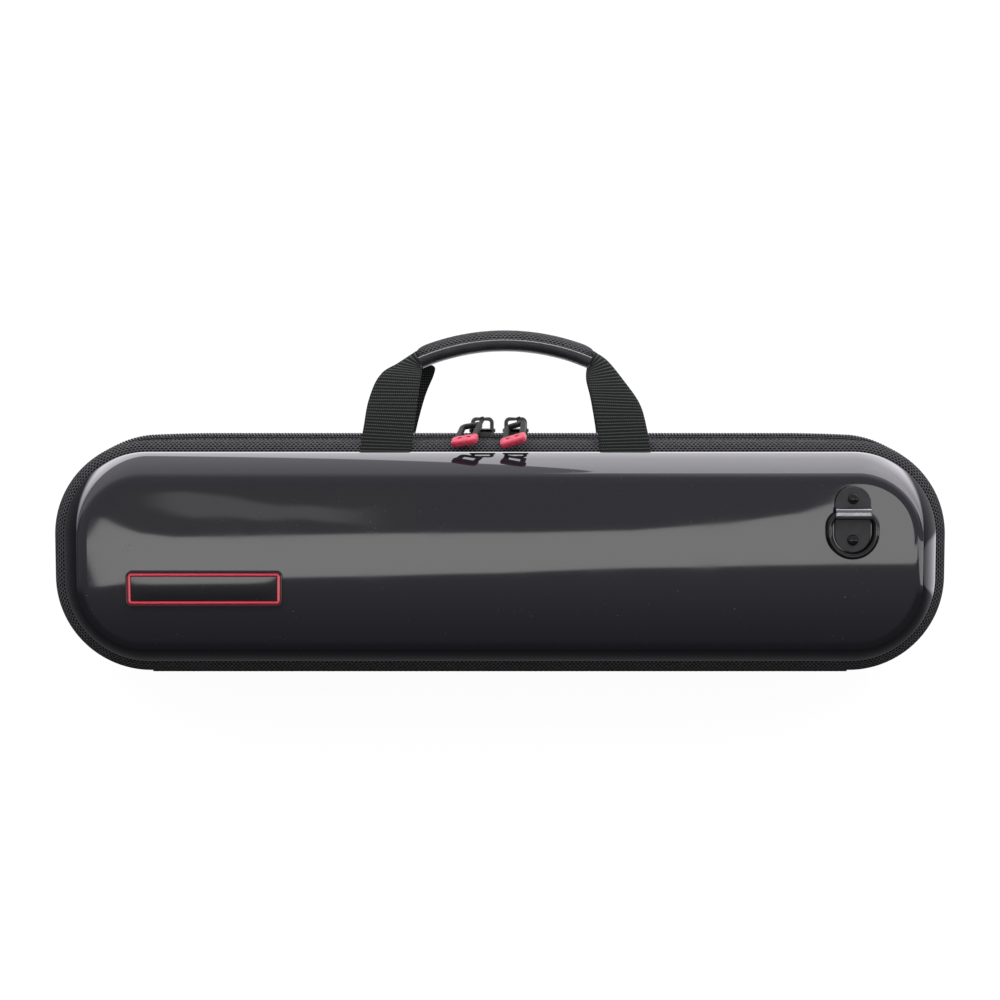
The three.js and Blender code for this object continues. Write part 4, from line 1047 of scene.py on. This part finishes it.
black = badge_build(tone(14, 14, 16), tone(70, 70, 74))
crimson = badge_build(tone(172, 4, 38), tone(196, 60, 84))
badge_black = finish("badge_black", tone(14, 14, 16), 0.06, black)
badge_crimson = finish("badge_crimson", tone(178, 12, 44), 0.1, crimson)
badge_frame("badge_rim_moulded", 0.0, -0.85, 41.5, badge_black, "badge_rim", "badge_black")
badge_frame("badge_line", -0.9, -2.6, 41.4, badge_crimson, "badge_border", "badge_red")
field_x, field_z = badge_oblong.face(-2.75)
rim_x, rim_z = badge_oblong.rings([-2.65, -2.65])
dome_share = (1 - ((field_z - badge_z) / 6.1) ** 2) * (1 - ((field_x - badge_x) / 35.6) ** 8)
field_depth = field_top + 0.06 * dome_share
field_depth -= 1.4 * (crown_drop(field_x, field_z) - crown_drop(badge_x, badge_z))
field = badge_oblong.solid(
    laid(field_x, -field_depth, field_z),
    laid(rim_x, -np.array([[field_top], [badge_foot + 0.1]]), rim_z),
    laid(field_x, -badge_foot, field_z),
)
make("badge_field_domed", [field], badge_black, "front_half", "badge_field", "badge_black", 60)


# Inside: foam liners faced in plush, a foam bed with a channel for each joint of the flute and finger
# wells between them, and a crowned cushion in the lid.
def plush_build(board):
    """Short pile: fine clumps of fibre that lean in broad patches."""
    pile = board.noise(2200.0, 2.0)
    lean = board.noise(28.0, 3.0).over(0.35, 0.65)
    colour = board.blend(pile * 0.6 + lean * 0.4, tone(20, 20, 25), tone(62, 61, 72))
    return {"Base Color": colour, "Relief": (pile, 0.0005)}


plush = finish("plush", tone(36, 35, 43), 0.95, plush_build, **{"Sheen Weight": 0.4, "Sheen Roughness": 0.5})
liner_inset, liner_thick, liner_depth = 8.15, 3.0, 38.15
for half, side in halves:
    lining = tray(case_oblong(60, 6, 12), liner_inset, liner_thick, liner_depth, parting, side, 12)
    make(f"{half}_lining", [lining], plush, f"{half}_half", f"{half}_liner", "plush", 60)
bed_inset, bed_depth, bed_top, channel_deep = 11.4, 34.9, 2.5, 24.0
channels = [(0.0, 77.5, 362.0, 33.0), (-70.5, 37.5, 224.0, 29.0), (115.5, 37.5, 134.0, 33.0)]
wells = [(362.0 * share, 57.5, 34.0, 34.0) for share in (-0.28, 0.02, 0.3)]


def hollow(x, z, middle_x, middle_z, length, width):
    """1 inside a channel or well with round ends and 0 outside, by the distance from its middle line."""
    reach = np.abs(x - middle_x) - (length - width) / 2
    gap = np.hypot(np.maximum(reach, 0), z - middle_z) - width / 2
    return np.clip(0.5 - gap / 1.6, 0, 1)


def bed_surface(x, z):
    """Depth of the bed's face: its top, lowered where a channel or a well lies."""
    return bed_top + channel_deep * np.stack([hollow(x, z, *size) for size in channels + wells]).max(0)


bed_nodes = "bed_strip_upper bed_strip_lower bed_rib_one bed_rib_two bed_rib_three bed_rib_four bed_base"
bed_oblong = case_oblong(330, 16, 34)
bed_x, bed_z = bed_oblong.face(-bed_inset - 0.8)
rolled_x, rolled_z = bed_oblong.rings([-bed_inset - 0.3, -bed_inset])
offsets, depths = shoulder(bed_inset, bed_depth, 10)
side_x, side_z = bed_oblong.rings(offsets[::-1])
base_x, base_z = bed_oblong.face(-bed_inset - shoulder_width)
rolled = laid(rolled_x, np.array([[bed_top + 0.2], [bed_top + 0.8]]), rolled_z)
bed = bed_oblong.solid(
    laid(bed_x, bed_surface(bed_x, bed_z), bed_z),
    np.concatenate([rolled, laid(side_x, depths[::-1, None], side_z)]),
    laid(base_x, bed_depth, base_z),
)
make("flute_bed_plush", [bed], plush, "rear_half", bed_nodes, "plush", 50)
pad_top, pad_roll, pad_crown = 8.0, 8.6, 3.0
pad_oblong = case_oblong(80, 8, 26)
pad_x, pad_z = pad_oblong.face(-bed_inset - pad_roll)
turn = np.radians(np.linspace(90, 0, 10))
roll_x, roll_z = pad_oblong.rings(-bed_inset - pad_roll * (1 - np.cos(turn)))
roll_depth = pad_top + pad_roll * (1 - np.sin(turn))
side_x, side_z = pad_oblong.rings(offsets[::-1])
base_x, base_z = pad_oblong.face(-bed_inset - shoulder_width)
crown = pad_crown * np.clip(1 - (np.abs(pad_z - middle_height) / 37.5) ** 2.2, 0, 1)
crown *= np.clip(1 - (np.abs(pad_x) / 201.0) ** 6, 0, 1)
cushion = pad_oblong.solid(
    laid(pad_x, crown - pad_top, pad_z),
    np.concatenate([laid(roll_x, -roll_depth[:, None], roll_z), laid(side_x, -depths[::-1, None], side_z)]),
    laid(base_x, -bed_depth, base_z),
)
make("lid_cushion", [cushion], plush, "front_half", "lid_pad", "plush", 50)
